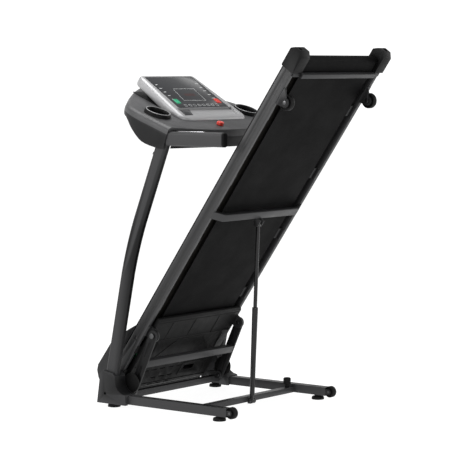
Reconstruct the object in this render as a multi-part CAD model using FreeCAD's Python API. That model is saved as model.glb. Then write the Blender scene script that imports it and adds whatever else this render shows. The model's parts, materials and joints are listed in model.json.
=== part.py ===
import FreeCAD, Part
import os
from math import atan2, cos, degrees, hypot, radians, sin, tan

# Folding home treadmill, stored upright. Millimetres.
# While it is modelled, X runs to the user's right, Y towards the motor, Z up from the floor,
# and Y is zero under the front feet. Everything is centred on its footprint just before export.
# Deck pieces are modelled flat: U runs along the deck towards its rear end and V up through the belt.

V = FreeCAD.Vector

# driving sizes
fold_angle = 55.0            # lean of the stored deck above the floor
foot_spacing_x = 592.0       # between the left and right feet
foot_spacing_y = 487.0       # between the front and rear feet
belt_width = 420.0
deck_end_u = 1500.0          # rear end of the deck's side rails
base_tube_width = 35.0
base_tube_height = 31.0
foot_height = 18.0
foot_radius = 23.5
upright_depth = 50.0
upright_width = 28.0
upright_lower_lean = 11.5
upright_upper_lean = 21.5
upright_knee_z = 591.0
upright_bend_radius = 1500.0
tray_tilt = 20.5
console_slope = 33.0
caster_radius = 27.5
strut_tube_radius = 10.8
motor_radius = 43.0

# walls and clearances
tube_wall = 2.0
shell_wall = 3.0
plate = 4.0
running_gap = 0.06           # radial gap of a pin in its bore
side_gap = 0.8               # between faces that slide past each other
shell_gap = 0.5              # round a tube that passes through a cover
belt_thickness = 1.6
pin_radius = 6.0
bolt_radius = 4.0
axle_radius = 5.0

# base
base_tube_z0 = foot_height
base_tube_z1 = base_tube_z0 + base_tube_height
base_tube_x1 = foot_spacing_x / 2 + 19
base_tube_x0 = base_tube_x1 - base_tube_width
base_tube_front = 48.0
base_tube_rear = -foot_spacing_y - 44
front_cross_z = (base_tube_z0 + 10, base_tube_z1 + 2)
rear_cross_z = (base_tube_z0 + 1, base_tube_z0 + 21)
front_cross_y = (-38.0, -8.0)
strut_foot_z = 24.0
base_wheel_radius = 21.0
base_wheel_width = 22.0
base_wheel_x0 = foot_spacing_x / 2 - base_wheel_width / 2 + 1.5
base_wheel_y = base_tube_rear - 12
base_wheel_z = base_wheel_radius + 12
fold_y = -54.0
fold_z = base_tube_z1 + 8

# uprights
upright_outer_x = base_tube_x1 + 5
upright_x = upright_outer_x - upright_width / 2
upright_foot_y = 12.0
knee_y = upright_foot_y - tan(radians(upright_lower_lean)) * (upright_knee_z - base_tube_z1)
tray_rise = 468.7            # knee to the tray's top face along the upper upright
cover_outer_x = upright_outer_x + 10
cover_inner_x = base_tube_x0 - 8

# lift frame
arm_x0 = foot_spacing_x / 2 - 46
arm_thickness = 8.0
arm_half_width = 18.5
arm_head_radius = 20.0
arm_foot_radius = 15.0
deck_pivot_u = 304.0
deck_pivot_v = 30.0
ear_thickness = 6.0

# deck
rail_inner_x = belt_width / 2 + 40.4
rail_width = 14.0
rail_outer_x = rail_inner_x + rail_width
rail_v0 = 61.0
rail_v1 = 103.5
roller_v = 84.0
roller_radius = 19.4
rear_roller_u = deck_end_u - 31.5
front_roller_u = 252.0
board_thickness = 18.0
board_top_v = roller_v + roller_radius - 0.3
cap_start_u = deck_end_u - 62
cap_end_u = deck_end_u + 20
mid_bar_u = (816.0, 846.0)
mid_bar_v0 = 35.0
strut_head_u = mid_bar_u[0] - 21
strut_head_v = 30.3
deck_lean = radians(fold_angle)
strut_foot_y = 27.2 - strut_head_u * cos(deck_lean) + strut_head_v * sin(deck_lean)
rear_cross_y = (strut_foot_y + 12, strut_foot_y + 42)
caster_u = deck_end_u - 164.0
caster_v = 30.0
pulley_x0 = belt_width / 2 + 5
pulley_width = 14.0
roller_pulley_radius = 33.0
motor_pulley_radius = 13.0
motor_u = 118.0
motor_v = 113.0
motor_mount_v = motor_v - motor_radius
hood_front_u = 2.0
hood_end_u = 290.0
rocker_u = hood_front_u + 10
rocker_v = 82.0
rocker_pin_radius = 2.0
hood_half_width = rail_outer_x - 2.4
pan_half_width = arm_x0 - ear_thickness - 2.2
pan_end_u = 363.0
pan_v0 = 43.0
pan_v1 = 58.0
pan_front_u = 24.0
front_bar_v = (66.0, 96.0)

# tray and console
tray_half_width = upright_outer_x + 10
tray_thickness = 45.0
tray_roll = 16.0             # rounding of the tray's rim
tray_rear_s = (-120.0, -160.0)       # bowed rear edge, at its ends and at its middle
tray_side_s = 20.0                   # where the straight sides end
tray_front_s = 288.0
tray_front_places = ((322, 70), (300, 115), (256, 150), (203, 188), (116, 243), (50, 276))
tray_s_at_upright = -102.4
cup_radius = 40.0
cup_collar_radius = 50.0
cup_collar_rise = 14.0
cup_depth = 62.0
cup_x = 257.5
handrail_width = 28.0
handrail_height = 51.0
handrail_cap_length = 8.0
key_x = -34.0
key_s = -115.0

# where the tray sits: its middle on the top face, between the cups
upper_lean = radians(upright_upper_lean)
tilt = radians(tray_tilt)
tray_y = knee_y - sin(upper_lean) * tray_rise - tray_s_at_upright * cos(tilt)
tray_z = upright_knee_z + cos(upper_lean) * tray_rise - tray_s_at_upright * sin(tilt)
console_ahead = 76.5         # console's middle from the tray's
console_above = 77.5
console_y = tray_y + console_ahead
console_z = tray_z + console_above
handrail_rear_y = tray_y - 343.8
handrail_front_y = tray_y - 95.8
handrail_z0 = tray_z - 107
handrail_x0 = upright_outer_x - handrail_width + 5


# shape helpers
def box(x0, x1, y0, y1, z0, z1):
    return Part.makeBox(x1 - x0, y1 - y0, z1 - z0, V(x0, y0, z0))


def tubeX(radius, x0, x1, y, z):
    return Part.makeCylinder(radius, x1 - x0, V(x0, y, z), V(1, 0, 0))


def tubeZ(radius, x, y, z0, z1):
    return Part.makeCylinder(radius, z1 - z0, V(x, y, z0), V(0, 0, 1))


def side_prism(points, x0, x1):
    """A solid with an outline in the Y-Z plane, between two X places."""
    corners = [V(x0, y, z) for y, z in points]
    face = Part.Face(Part.makePolygon(corners + [corners[0]]))
    return face.extrude(V(x1 - x0, 0, 0))


def plan_prism(points, z0, z1):
    """A solid with an outline in the X-Y plane, between two Z places."""
    corners = [V(x, y, z0) for x, y in points]
    face = Part.Face(Part.makePolygon(corners + [corners[0]]))
    return face.extrude(V(0, 0, z1 - z0))


def end_prism(points, y0, y1):
    """A solid with an outline in the X-Z plane, between two Y places."""
    corners = [V(x, y0, z) for x, z in points]
    face = Part.Face(Part.makePolygon(corners + [corners[0]]))
    return face.extrude(V(0, y1 - y0, 0))


def joined(*shapes):
    result = shapes[0]
    for other in shapes[1:]:
        result = result.fuse(other)
    return result.removeSplitter()


def mirrored(shape):
    return shape.mirror(V(0, 0, 0), V(1, 0, 0))


def pair(shape):
    return Part.makeCompound([mirrored(shape), shape])


def round_edges(shape, radius, direction):
    """Rounds the straight edges that run along a direction."""
    chosen = []
    for edge in shape.Edges:
        if edge.Curve.TypeId != "Part::GeomLine":
            continue
        if edge.Length > 1 and abs(edge.tangentAt(edge.FirstParameter).dot(direction)) > 0.999:
            chosen.append(edge)
    return shape.makeFillet(radius, chosen)


def hollow_box_tube(x0, x1, y0, y1, z0, z1, axis):
    outer = box(x0, x1, y0, y1, z0, z1)
    w = tube_wall
    if axis == "x":
        return outer.cut(box(x0 - 1, x1 + 1, y0 + w, y1 - w, z0 + w, z1 - w))
    return outer.cut(box(x0 + w, x1 - w, y0 - 1, y1 + 1, z0 + w, z1 - w))


# deck helpers, in U and V
def deck_box(x0, x1, u0, u1, v0, v1):
    return box(x0, x1, -u1, -u0, v0, v1)


def deck_tube(radius, x0, x1, u, v):
    return tubeX(radius, x0, x1, -u, v)


def deck_prism(points, x0, x1):
    return side_prism([(-u, v) for u, v in points], x0, x1)


def deck_point(u, v):
    lean = radians(fold_angle)
    return (-u * cos(lean) + v * sin(lean), u * sin(lean) + v * cos(lean))


def lean_deck(shape):
    shape = shape.copy()
    shape.rotate(V(0, 0, 0), V(1, 0, 0), -fold_angle)
    return shape


# tray helpers: S runs up the tray's top face towards the front, N is its normal
def place_on_tray(shape):
    shape = shape.copy()
    shape.rotate(V(0, 0, 0), V(1, 0, 0), tray_tilt)
    shape.translate(V(0, tray_y, tray_z))
    return shape


def place_on_console(shape):
    shape = shape.copy()
    shape.rotate(V(0, 0, 0), V(1, 0, 0), console_slope)
    shape.translate(V(0, console_y, console_z))
    return shape


def console_base_n(s):
    """Height of the tray's face under the console, in the console's own frame."""
    gap = radians(console_slope - tray_tilt)
    slope = radians(console_slope)
    s0 = -console_ahead * cos(slope) - console_above * sin(slope)
    n0 = console_ahead * sin(slope) - console_above * cos(slope)
    return n0 - (s - s0) * tan(gap)


# base
def base_side_tubes():
    tube = hollow_box_tube(base_tube_x0, base_tube_x1, base_tube_rear, base_tube_front,
                           base_tube_z0, base_tube_z1, "y")
    plug = box(base_tube_x0 + tube_wall, base_tube_x1 - tube_wall, base_tube_front - 12, base_tube_front,
               base_tube_z0 + tube_wall, base_tube_z1 - tube_wall)
    tube = tube.fuse(plug).removeSplitter()
    room = base_wheel_radius + side_gap
    notch = tubeX(room, base_wheel_x0 - side_gap, base_wheel_x0 + base_wheel_width + side_gap,
                  base_wheel_y, base_wheel_z)
    return pair(tube.cut(notch))


def base_cross_tubes():
    tubes = []
    for span_y, span_z in ((rear_cross_y, rear_cross_z), (front_cross_y, front_cross_z)):
        tubes.append(hollow_box_tube(-base_tube_x0, base_tube_x0, span_y[0], span_y[1],
                                     span_z[0], span_z[1], "x"))
    return Part.makeCompound(tubes)


def levelling_feet():
    feet = []
    for x in (-foot_spacing_x / 2, foot_spacing_x / 2):
        for y in (0, -foot_spacing_y):
            pad = Part.makeCone(foot_radius, foot_radius - 2.5, 12, V(x, y, 0), V(0, 0, 1))
            neck = tubeZ(foot_radius * 0.55, x, y, 12, foot_height)
            feet.append(pad.fuse(neck).removeSplitter())
    return Part.makeCompound(feet)


def base_wheel():
    x0 = base_wheel_x0
    x1 = x0 + base_wheel_width
    wheel = tubeX(base_wheel_radius, x0, x1, base_wheel_y, base_wheel_z)
    wheel = wheel.makeChamfer(2.5, [e for e in wheel.Edges if e.Curve.TypeId == "Part::GeomCircle"])
    return wheel.cut(tubeX(axle_radius + running_gap, x0 - 1, x1 + 1, base_wheel_y, base_wheel_z))


def wheel_fork():
    x0 = base_wheel_x0 - side_gap - plate
    x1 = base_wheel_x0 + base_wheel_width + side_gap
    ears = []
    for x in (x0, x1):
        bar = box(x, x + plate, base_wheel_y, base_tube_rear - 0.1, base_wheel_z - 9, base_wheel_z + 9)
        tip = tubeX(9, x, x + plate, base_wheel_y, base_wheel_z)
        hole = tubeX(axle_radius, x - 1, x + plate + 1, base_wheel_y, base_wheel_z)
        ears.append(joined(bar, tip).cut(hole))
    return ears


def fold_ear(x0, x1):
    tab = box(x0, x1, fold_y, front_cross_y[0], front_cross_z[1] - 7, fold_z + 14)
    head = tubeX(14, x0, x1, fold_y, fold_z)
    top = box(x0, x1, front_cross_y[0], front_cross_y[1], front_cross_z[1], fold_z + 14)
    hole = tubeX(pin_radius, x0 - 1, x1 + 1, fold_y, fold_z)
    return joined(tab, head, top).cut(hole)


def base_brackets():
    inner_ear = fold_ear(arm_x0 - side_gap - ear_thickness, arm_x0 - side_gap)
    outer_x = arm_x0 + arm_thickness + side_gap
    outer_ear = fold_ear(outer_x, outer_x + plate)
    ears = wheel_fork()
    pieces = []
    for piece in [inner_ear, outer_ear] + ears:
        pieces += [piece, mirrored(piece)]
    pieces += strut_foot_ears()
    return Part.makeCompound(pieces)


strut_eye_half = 6.0


def strut_foot_ears():
    ears = []
    for x in (-strut_eye_half - side_gap - plate, strut_eye_half + side_gap):
        tab = box(x, x + plate, strut_foot_y, rear_cross_y[0], strut_foot_z - 10, strut_foot_z + 12)
        head = tubeX(10, x, x + plate, strut_foot_y, strut_foot_z)
        hole = tubeX(pin_radius, x - 1, x + plate + 1, strut_foot_y, strut_foot_z)
        ears.append(joined(tab, head).cut(hole))
    return ears


def headed_pin(x0, x1, y, z, radius, head):
    """A pin along X with a round head outside its far end."""
    shank = tubeX(radius, x0, x1, y, z)
    cap = tubeX(head, x1, x1 + 3, y, z)
    return shank.fuse(cap).removeSplitter()


def base_pins():
    outer_end = arm_x0 + arm_thickness + side_gap + plate
    fold_pin = headed_pin(arm_x0 - side_gap - ear_thickness, outer_end, fold_y, fold_z, pin_radius, 9)
    reach = side_gap + plate
    axle = tubeX(axle_radius, base_wheel_x0 - reach, base_wheel_x0 + base_wheel_width + reach,
                 base_wheel_y, base_wheel_z)
    reach = strut_eye_half + side_gap + plate
    strut_pin = headed_pin(-reach, reach, strut_foot_y, strut_foot_z, pin_radius, 9)
    return Part.makeCompound([fold_pin, mirrored(fold_pin), axle, mirrored(axle), strut_pin])


def rubber_stop():
    x = foot_spacing_x / 2 - 44
    y = (rear_cross_y[0] + rear_cross_y[1]) / 2
    top = rear_cross_z[1]
    neck = tubeZ(8, x, y, top, top + 12)
    head = tubeZ(14, x, y, top + 12, top + 37)
    head = head.makeFillet(3, [e for e in head.Edges if e.Curve.TypeId == "Part::GeomCircle"])
    return neck.fuse(head).removeSplitter()


# uprights
def upright_section(depth, width):
    """Rounded oblong of the upright's tube, centred on the origin in X-Y."""
    block = box(-width / 2, width / 2, -depth / 2, depth / 2, 0, 10)
    block = round_edges(block, min(10, width / 2 - 1), V(0, 0, 1))
    for face in block.Faces:
        if abs(face.CenterOfMass.z) < 1e-6:
            return face.OuterWire
    return None


def upright_body(depth, width, top):
    """The bent tube as a solid: a straight foot, a wide bend and a straight upper run."""
    bend_radius = upright_bend_radius
    low = radians(upright_lower_lean)
    bend = upper_lean - low
    reach = bend_radius * tan(bend / 2)
    down = V(0, sin(low), -cos(low))
    up = V(0, -sin(upper_lean), cos(upper_lean))
    knee = V(0, knee_y, upright_knee_z)
    run = (upright_knee_z - base_tube_z1) / cos(low) + 30
    start = knee + down * run
    bend_in = knee + down * reach
    bend_out = knee + up * reach
    out = V(0, -cos((low + upper_lean) / 2), -sin((low + upper_lean) / 2))
    chord = (bend_out - bend_in).Length / 2
    sag = bend_radius - (bend_radius ** 2 - chord ** 2) ** 0.5
    middle = (bend_in + bend_out) * 0.5 - out * sag
    end = knee + up * top
    path = Part.Wire([Part.makeLine(start, bend_in),
                      Part.Arc(bend_in, middle, bend_out).toShape(),
                      Part.makeLine(bend_out, end)])
    section = upright_section(depth, width)
    section.rotate(V(0, 0, 0), V(1, 0, 0), upright_lower_lean)
    section.translate(start)
    body = path.makePipeShell([section], True, False)
    if body.Volume < 0:
        body.reverse()
    below = box(-200, 200, -600, 400, -200, base_tube_z1)
    return body.cut(below)


def upright(side):
    outer = upright_body(upright_depth, upright_width, tray_rise - 8)
    inner = upright_body(upright_depth - 2 * tube_wall, upright_width - 2 * tube_wall, tray_rise + 8)
    tube = outer.cut(inner)
    tube.translate(V(side * upright_x, 0, 0))
    return tube


def cover_outline(inset):
    """The base cover's side view, from the front toe over the top and down the hollowed rear."""
    places = [(54 - inset, 15), (38 - inset, 124 - inset), (24 - inset / 2, 135 - inset),
              (-22, 128 - inset), (-32 + inset, 116 - inset)]
    for turn in (0, 22.5, 45, 67.5, 90):
        places.append((-82 + (50 + inset) * cos(radians(turn)), 102 - (50 + inset) * sin(radians(turn))))
    return places + [(-82 + inset, 15)]


def upright_cover(side):
    shell = side_prism(cover_outline(0), cover_inner_x, cover_outer_x)
    room = side_prism(cover_outline(shell_wall), cover_inner_x + shell_wall, cover_outer_x - shell_wall)
    shell = shell.cut(room.fuse(box(0, 999, -999, 999, 0, 15)))
    g = shell_gap
    shell = shell.cut(box(base_tube_x0 - g, base_tube_x1 + g, -200, base_tube_front + g, 0, base_tube_z1 + g))
    hole = upright_body(upright_depth + 2 * g, upright_width + 2 * g, 50)
    hole.translate(V(upright_x, 0, 0))
    shell = shell.cut(hole)
    front_inner = box(0, base_tube_x0 - g, front_cross_y[0] - g, front_cross_y[1] + g, 0, front_cross_z[1] + g)
    shell = shell.cut(front_inner)
    shell = shell.cut(tubeX(5, cover_outer_x - 6, cover_outer_x + 6, 15, 51.5))
    shell = shell.cut(tubeZ(foot_radius + 2, foot_spacing_x / 2, 0, -1, base_tube_z0))
    return shell if side > 0 else mirrored(shell)


def hinge_covers():
    x0 = arm_x0 + arm_thickness + side_gap + plate + 3.4
    disc = tubeX(36, x0, cover_inner_x - 0.1, -60, 90)
    disc = disc.fuse(box(x0, cover_inner_x - 0.1, -70, -20, base_tube_z1 + 2, 100)).removeSplitter()
    return pair(disc)


def upright_bolts():
    bolts = []
    low = upright_foot_y - tan(radians(upright_lower_lean)) * 38
    for dy, z in ((-12, 74), (12, 74), (-14, 100), (10, 100)):
        x0 = upright_outer_x + 0.05
        bolts.append(tubeX(5, x0, x0 + 4, low + dy, z))
    clamp_rise = tray_rise - 118
    y = knee_y - clamp_rise * sin(upper_lean)
    z = upright_knee_z + clamp_rise * cos(upper_lean)
    front = upright_depth / 2
    bolt = Part.makeCylinder(6, 5, V(upright_x, y + front * cos(upper_lean), z + front * sin(upper_lean)),
                             V(0, cos(upper_lean), sin(upper_lean)))
    bolts.append(bolt)
    return Part.makeCompound(bolts + [mirrored(b) for b in bolts])


def console_crossbar():
    inner = upright_x - upright_width / 2
    s0 = tray_s_at_upright
    bar = hollow_box_tube(-inner, inner, s0 - 15, s0 + 15, 3 - tray_thickness, -16, "x")
    return place_on_tray(bar)


# tray
def tray_outline(inset, n0, n1):
    """Bowed rear edge, straight sides and a curved nose over the console's front."""
    half = tray_half_width - inset
    narrow = half / tray_half_width
    nose = tray_front_s - tray_side_s
    short = (nose - inset) / nose
    curve = [V(half, tray_side_s, n0)]
    curve += [V(x * narrow, tray_side_s + (s - tray_side_s) * short, n0) for x, s in tray_front_places]
    curve += [V(0, tray_front_s - inset, n0)] + [V(-p.x, p.y, n0) for p in reversed(curve)]
    spline = Part.BSplineCurve()
    spline.approximate(Points=curve, DegMax=5, Tolerance=2.0)
    corner = tray_rear_s[0] + inset
    left = Part.makeLine(curve[-1], V(-half, corner, n0))
    back = Part.Arc(V(-half, corner, n0), V(0, tray_rear_s[1] + inset, n0), V(half, corner, n0)).toShape()
    right = Part.makeLine(V(half, corner, n0), curve[0])
    face = Part.Face(Part.Wire([spline.toShape(), left, back, right]))
    return face.extrude(V(0, 0, n1 - n0))


def cup_hole(x, radius, n0):
    return tubeZ(radius, x, 0, n0, 20)


def tray_top():
    body = tray_outline(0, -tray_thickness, 0)
    rim = [e for e in body.Edges if e.CenterOfMass.z > -1 and e.CenterOfMass.y > tray_rear_s[0]]
    body = body.makeFillet(tray_roll, rim)
    room = tray_outline(shell_wall, -tray_thickness - 1, -shell_wall)
    rim = [e for e in room.Edges if e.CenterOfMass.z > -shell_wall - 1 and e.CenterOfMass.y > tray_rear_s[0]]
    room = room.makeFillet(tray_roll - shell_wall, rim)
    body = body.cut(room)
    for side in (-1, 1):
        body = body.cut(cup_hole(side * cup_x, cup_radius + shell_gap, -20))
    body = body.cut(box(key_x - 11, key_x + 11, key_s - 9, key_s + 9, -9, 9))
    body = place_on_tray(body)
    for room in upright_rooms(tray_rise - 7.5):
        body = body.cut(room)
    return cut_handrail_path(body)


def handrail_block(grow):
    return box(handrail_x0 - grow, handrail_x0 + handrail_width + grow, handrail_rear_y, handrail_front_y,
               handrail_z0 - grow, handrail_z0 + handrail_height + grow)


def upright_rooms(top):
    """The space both uprights take under the tray, with a gap round them."""
    room = upright_body(upright_depth + 2 * shell_gap, upright_width + 2 * shell_gap, top)
    room.translate(V(upright_x, 0, 0))
    return [room, mirrored(room)]


def cut_handrail_path(shape):
    for rail in (handrail_block(shell_gap), mirrored(handrail_block(shell_gap))):
        shape = shape.cut(rail)
    return shape


def cheek_outline(inset):
    """Side view of the skirt under one end of the tray, from its rear edge round to the front."""
    rear, sleeve = -130.8 + inset, -117 + inset
    places = [(rear, -62.9), (rear, sleeve), (-60 - inset, sleeve), (-17 - inset, -104 + inset),
              (14 - inset, -93 + inset), (46 - inset, -64 + inset), (66 - inset, -38 + inset),
              (74.2 - inset, -2.9)]
    return [(tray_y + y, tray_z + z) for y, z in places]


def tray_bottom():
    plate_shape = tray_outline(shell_wall + 0.2, -tray_thickness, -tray_thickness + shell_wall)
    under = place_on_tray(tray_outline(-50, -400, -tray_thickness))
    inner_x = upright_x - upright_width / 2 - 5
    cheek = side_prism(cheek_outline(0), inner_x, tray_half_width - 0.2)
    cheek = cheek.cut(side_prism(cheek_outline(shell_wall), inner_x + shell_wall,
                                 tray_half_width - shell_wall))
    cheek = cheek.common(under)
    plate_shape = place_on_tray(plate_shape)
    pieces = [plate_shape, cheek, mirrored(cheek)]
    solids = []
    for piece in pieces:
        for room in upright_rooms(tray_rise + 20):
            piece = piece.cut(room)
        for side in (-1, 1):
            cup = place_on_tray(tubeZ(cup_radius + shell_gap, side * cup_x, 0, -cup_depth - 6, 20))
            piece = piece.cut(cup)
        solids.append(cut_handrail_path(piece))
    return Part.makeCompound(solids)


def cup(side):
    outer = tubeZ(cup_radius, side * cup_x, 0, -cup_depth, 0.2)
    lip = Part.makeCone(cup_collar_radius, cup_collar_radius - 4, cup_collar_rise - 0.1,
                        V(side * cup_x, 0, 0.1), V(0, 0, 1))
    inner = tubeZ(cup_radius - 2.5, side * cup_x, 0, -cup_depth + 2.5, cup_collar_rise + 1)
    return place_on_tray(joined(outer, lip).cut(inner))


def safety_key_socket():
    block = box(key_x - 10.5, key_x + 10.5, key_s - 8.5, key_s + 8.5, -14, 1)
    slot = box(key_x - 5.5, key_x + 5.5, key_s - 2.5, key_s + 2.5, -10, 2)
    return place_on_tray(block.cut(slot))


def safety_key():
    tongue = box(key_x - 5, key_x + 5, key_s - 2, key_s + 2, -9.5, 2)
    grip = tubeZ(13, key_x, key_s, 1.2, 13)
    grip = grip.makeFillet(3, [e for e in grip.Edges if e.CenterOfMass.z > 12])
    return place_on_tray(tongue.fuse(grip).removeSplitter())


def handrails():
    rail = handrail_block(0)
    rail = round_edges(rail, 11, V(0, 1, 0))
    w = tube_wall
    room = box(handrail_x0 + w, handrail_x0 + handrail_width - w, handrail_rear_y - 1, handrail_front_y + 10,
               handrail_z0 + w, handrail_z0 + handrail_height - w)
    rail = rail.cut(round_edges(room, 9, V(0, 1, 0)))
    hole = upright_body(upright_depth, upright_width, tray_rise + 20)
    hole.translate(V(upright_x, 0, 0))
    return pair(keep_rearmost(rail.cut(hole)))


def keep_rearmost(shape):
    return min(shape.Solids, key=lambda solid: solid.BoundBox.YMin)


def handrail_caps():
    end_y = handrail_rear_y - handrail_cap_length
    block = box(handrail_x0, handrail_x0 + handrail_width, end_y, handrail_rear_y,
                handrail_z0, handrail_z0 + handrail_height)
    block = round_edges(block, 11, V(0, 1, 0))
    return pair(block.makeChamfer(2.5, [e for e in block.Edges
                                        if e.BoundBox.YMax < end_y + 0.1]))


def pulse_plates():
    top = handrail_z0 + handrail_height
    strip = box(handrail_x0 + 8, handrail_x0 + handrail_width - 8,
                handrail_rear_y + 86, handrail_rear_y + 196, top, top + 1.5)
    return pair(strip)


# console
def console_half_width(s):
    return 188 - (s + 151) * 33 / 263.0


def console_taper(inset, n0, n1):
    top, low = 114 - inset, -151 + inset
    half_top = console_half_width(top) - inset
    half_low = console_half_width(low) - inset
    return plan_prism([(-half_low, low), (half_low, low), (half_top, top), (-half_top, top)], n0, n1)


def console_wedge(inset):
    low = -151 + inset
    top = 114 - inset
    g = 0.2
    outline = [(low, console_base_n(low) + g), (low + 10, -9 - inset), (-111, -7 - inset),
               (-104, -inset), (top - 8, -inset), (top, -8 - inset), (top, console_base_n(top) + g)]
    return side_prism(outline, -200, 200)


def console_housing():
    block = console_wedge(0).common(console_taper(0, -120, 5))
    room = console_wedge(shell_wall).common(console_taper(shell_wall, -140, -shell_wall))
    below = side_prism([(-170, console_base_n(-170) + 3.2), (-140, console_base_n(-140) + 3.2),
                        (100, console_base_n(100) + 3.2), (100, -200), (-170, -200)], -200, 200)
    room = room.fuse(below.common(console_taper(shell_wall, -200, 5))).removeSplitter()
    room = room.common(box(-200, 200, -138, 150, -200, 50))
    pocket = plan_prism(glass_outline(0.2), -3, 5)
    shell = block.cut(room).cut(pocket)
    shell = shell.cut(box(-110, 110, -75, 75, -6, 0))
    for x, s in button_places:
        shell = shell.cut(button_block(x, s, -8, 5, 0.6))
    return place_on_console(shell)


def glass_outline(grow):
    return [(-148 - grow, -102 - grow), (148 + grow, -102 - grow),
            (138 + grow, 101 + grow), (-138 - grow, 101 + grow)]


button_places = ((-114.0, -60.0), (120.0, -62.0))


def button_block(x, s, n0, n1, grow):
    return box(x - 12 - grow, x + 12 + grow, s - 14 - grow, s + 14 + grow, n0, n1)


def console_glass():
    glass = plan_prism(glass_outline(0), -3, -0.2)
    for x, s in button_places:
        glass = glass.cut(button_block(x, s, -8, 5, 0.6))
    return place_on_console(glass)


def button(x, s):
    cap = button_block(x, s, -3, 1.4, 0)
    cap = round_edges(cap, 4, V(0, 0, 1))
    return place_on_console(cap)


def display_board():
    board = box(-95, 95, -50, 66, -7.4, -4.4)
    posts = [tubeZ(3, x, s, -4.5, -3.1) for x in (-88, 88) for s in (-44, 60)]
    return place_on_console(joined(board, *posts))


def console_back():
    n = console_base_n
    lid = side_prism([(-137, n(-137) + 0.4), (-137, n(-137) + 2.4), (108, n(108) + 2.4), (108, n(108) + 0.4)],
                     -200, 200)
    return place_on_console(lid.common(console_taper(shell_wall + 0.4, -200, 5)))


# lift frame
fold_u = -fold_y * cos(radians(fold_angle)) + fold_z * sin(radians(fold_angle))
fold_v = fold_y * sin(radians(fold_angle)) + fold_z * cos(radians(fold_angle))
arm_length = hypot(deck_pivot_u - fold_u, deck_pivot_v - fold_v)
arm_tilt = degrees(atan2(deck_pivot_v - fold_v, deck_pivot_u - fold_u))


def place_arm(shape):
    """Takes a piece drawn along the arm, from the fold pin, to its place on the leaning deck."""
    shape = shape.copy()
    shape.rotate(V(0, 0, 0), V(1, 0, 0), -arm_tilt)
    shape.translate(V(0, -fold_u, fold_v))
    return lean_deck(shape)


def lift_arm(side):
    x0, x1 = arm_x0, arm_x0 + arm_thickness
    w, r = arm_half_width, arm_foot_radius
    bar = side_prism([(0, -r), (0, r), (-r * 2, w), (-arm_length, w), (-arm_length, -w), (-r * 2, -w)], x0, x1)
    lower = tubeX(r, x0, x1, 0, 0)
    upper = tubeX(arm_head_radius, x0, x1, -arm_length, 0)
    arm = joined(bar, lower, upper)
    for start, stop in ((32, 104), (142, 202)):
        arm = arm.cut(box(x0 + 5, x1 + 1, -stop, -start, -4, 4))
    for y in (0, -arm_length):
        arm = arm.cut(tubeX(pin_radius + running_gap, x0 - 1, x1 + 1, y, 0))
    arm = place_arm(arm)
    return arm if side > 0 else mirrored(arm)


def lift_cross_tube():
    tube = hollow_box_tube(-arm_x0, arm_x0, -136, -108, -arm_half_width, 0, "x")
    return place_arm(tube)


# strut
head_y, head_z = deck_point(strut_head_u, strut_head_v)
strut_length = hypot(head_y - strut_foot_y, head_z - strut_foot_z)
strut_lean = degrees(atan2(-(head_y - strut_foot_y), head_z - strut_foot_z))
strut_tube_length = 322.0
strut_rod_radius = 7.0


def place_strut(shape):
    """Stands a piece drawn up Z from the strut's foot pin at its lean."""
    shape = shape.copy()
    shape.rotate(V(0, 0, 0), V(1, 0, 0), strut_lean)
    shape.translate(V(0, strut_foot_y, strut_foot_z))
    return shape


def strut_cylinder():
    eye = tubeX(9.5, -strut_eye_half, strut_eye_half, 0, 0)
    neck = tubeZ(6, 0, 0, 0, 22)
    tube = Part.makeCone(strut_tube_radius - 1.8, strut_tube_radius, strut_tube_length, V(0, 0, 20), V(0, 0, 1))
    body = joined(eye, neck, tube)
    body = body.cut(tubeX(pin_radius + running_gap, -20, 20, 0, 0))
    bore = tubeZ(strut_rod_radius + running_gap, 0, 0, 30, strut_tube_length + 40)
    return place_strut(body.cut(bore))


def strut_rod():
    top = strut_length
    rod = tubeZ(strut_rod_radius, 0, 0, strut_tube_length + 6, top - 6)
    eye = tubeX(9.5, -strut_eye_half, strut_eye_half, 0, top)
    pin = tubeX(pin_radius, -strut_eye_half - 1.5, strut_eye_half + 1.5, 0, top)
    return place_strut(joined(rod, eye, pin))


# deck
def deck_rail(side):
    w = tube_wall
    tube = deck_box(rail_inner_x, rail_outer_x, 22, deck_end_u, rail_v0, rail_v1)
    tube = tube.cut(deck_box(rail_inner_x + w, rail_outer_x - w, 0, deck_end_u + 9, rail_v0 + w, rail_v1 - w))
    for u in (front_roller_u, rear_roller_u):
        tube = tube.cut(deck_tube(axle_radius + 1, rail_inner_x - 1, rail_outer_x + 1, u, roller_v))
    tube = lean_deck(tube)
    return tube if side > 0 else mirrored(tube)


def deck_cross_bars():
    v0, v1 = front_bar_v
    w = tube_wall
    front = deck_box(-rail_inner_x, rail_inner_x, 24, 54, v0, v1)
    front = front.cut(deck_box(-rail_inner_x - 1, rail_inner_x + 1, 24 + w, 54 - w, v0 + w, v1 - w))
    half = belt_width / 2 + 10
    rear_u0 = cap_start_u - 14
    rear = deck_box(-half, half, rear_u0, cap_start_u + 2, 44.6, 60)
    ends = []
    for side in (-1, 1):
        lug = deck_box(half - 1, rail_inner_x + 8, rear_u0, cap_start_u - 0.4, rail_v0 - 6, rail_v0)
        ends.append(lug if side > 0 else mirrored(lug))
    return Part.makeCompound([lean_deck(front), lean_deck(joined(rear, *ends))])


def mid_bar():
    foot = rail_outer_x
    knee = rail_outer_x - 47
    half_view = [(knee, mid_bar_v0), (foot, rail_v0), (foot - 22, rail_v0), (knee - 10, mid_bar_v0 + 16)]
    outline = half_view + [(-x, v) for x, v in reversed(half_view)]
    return lean_deck(end_prism(outline, -mid_bar_u[1], -mid_bar_u[0]))


def deck_board():
    half = rail_inner_x - 4
    return lean_deck(deck_box(-half, half, front_roller_u + roller_pulley_radius + 5, rear_roller_u - 34,
                              board_top_v - board_thickness, board_top_v))


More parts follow.
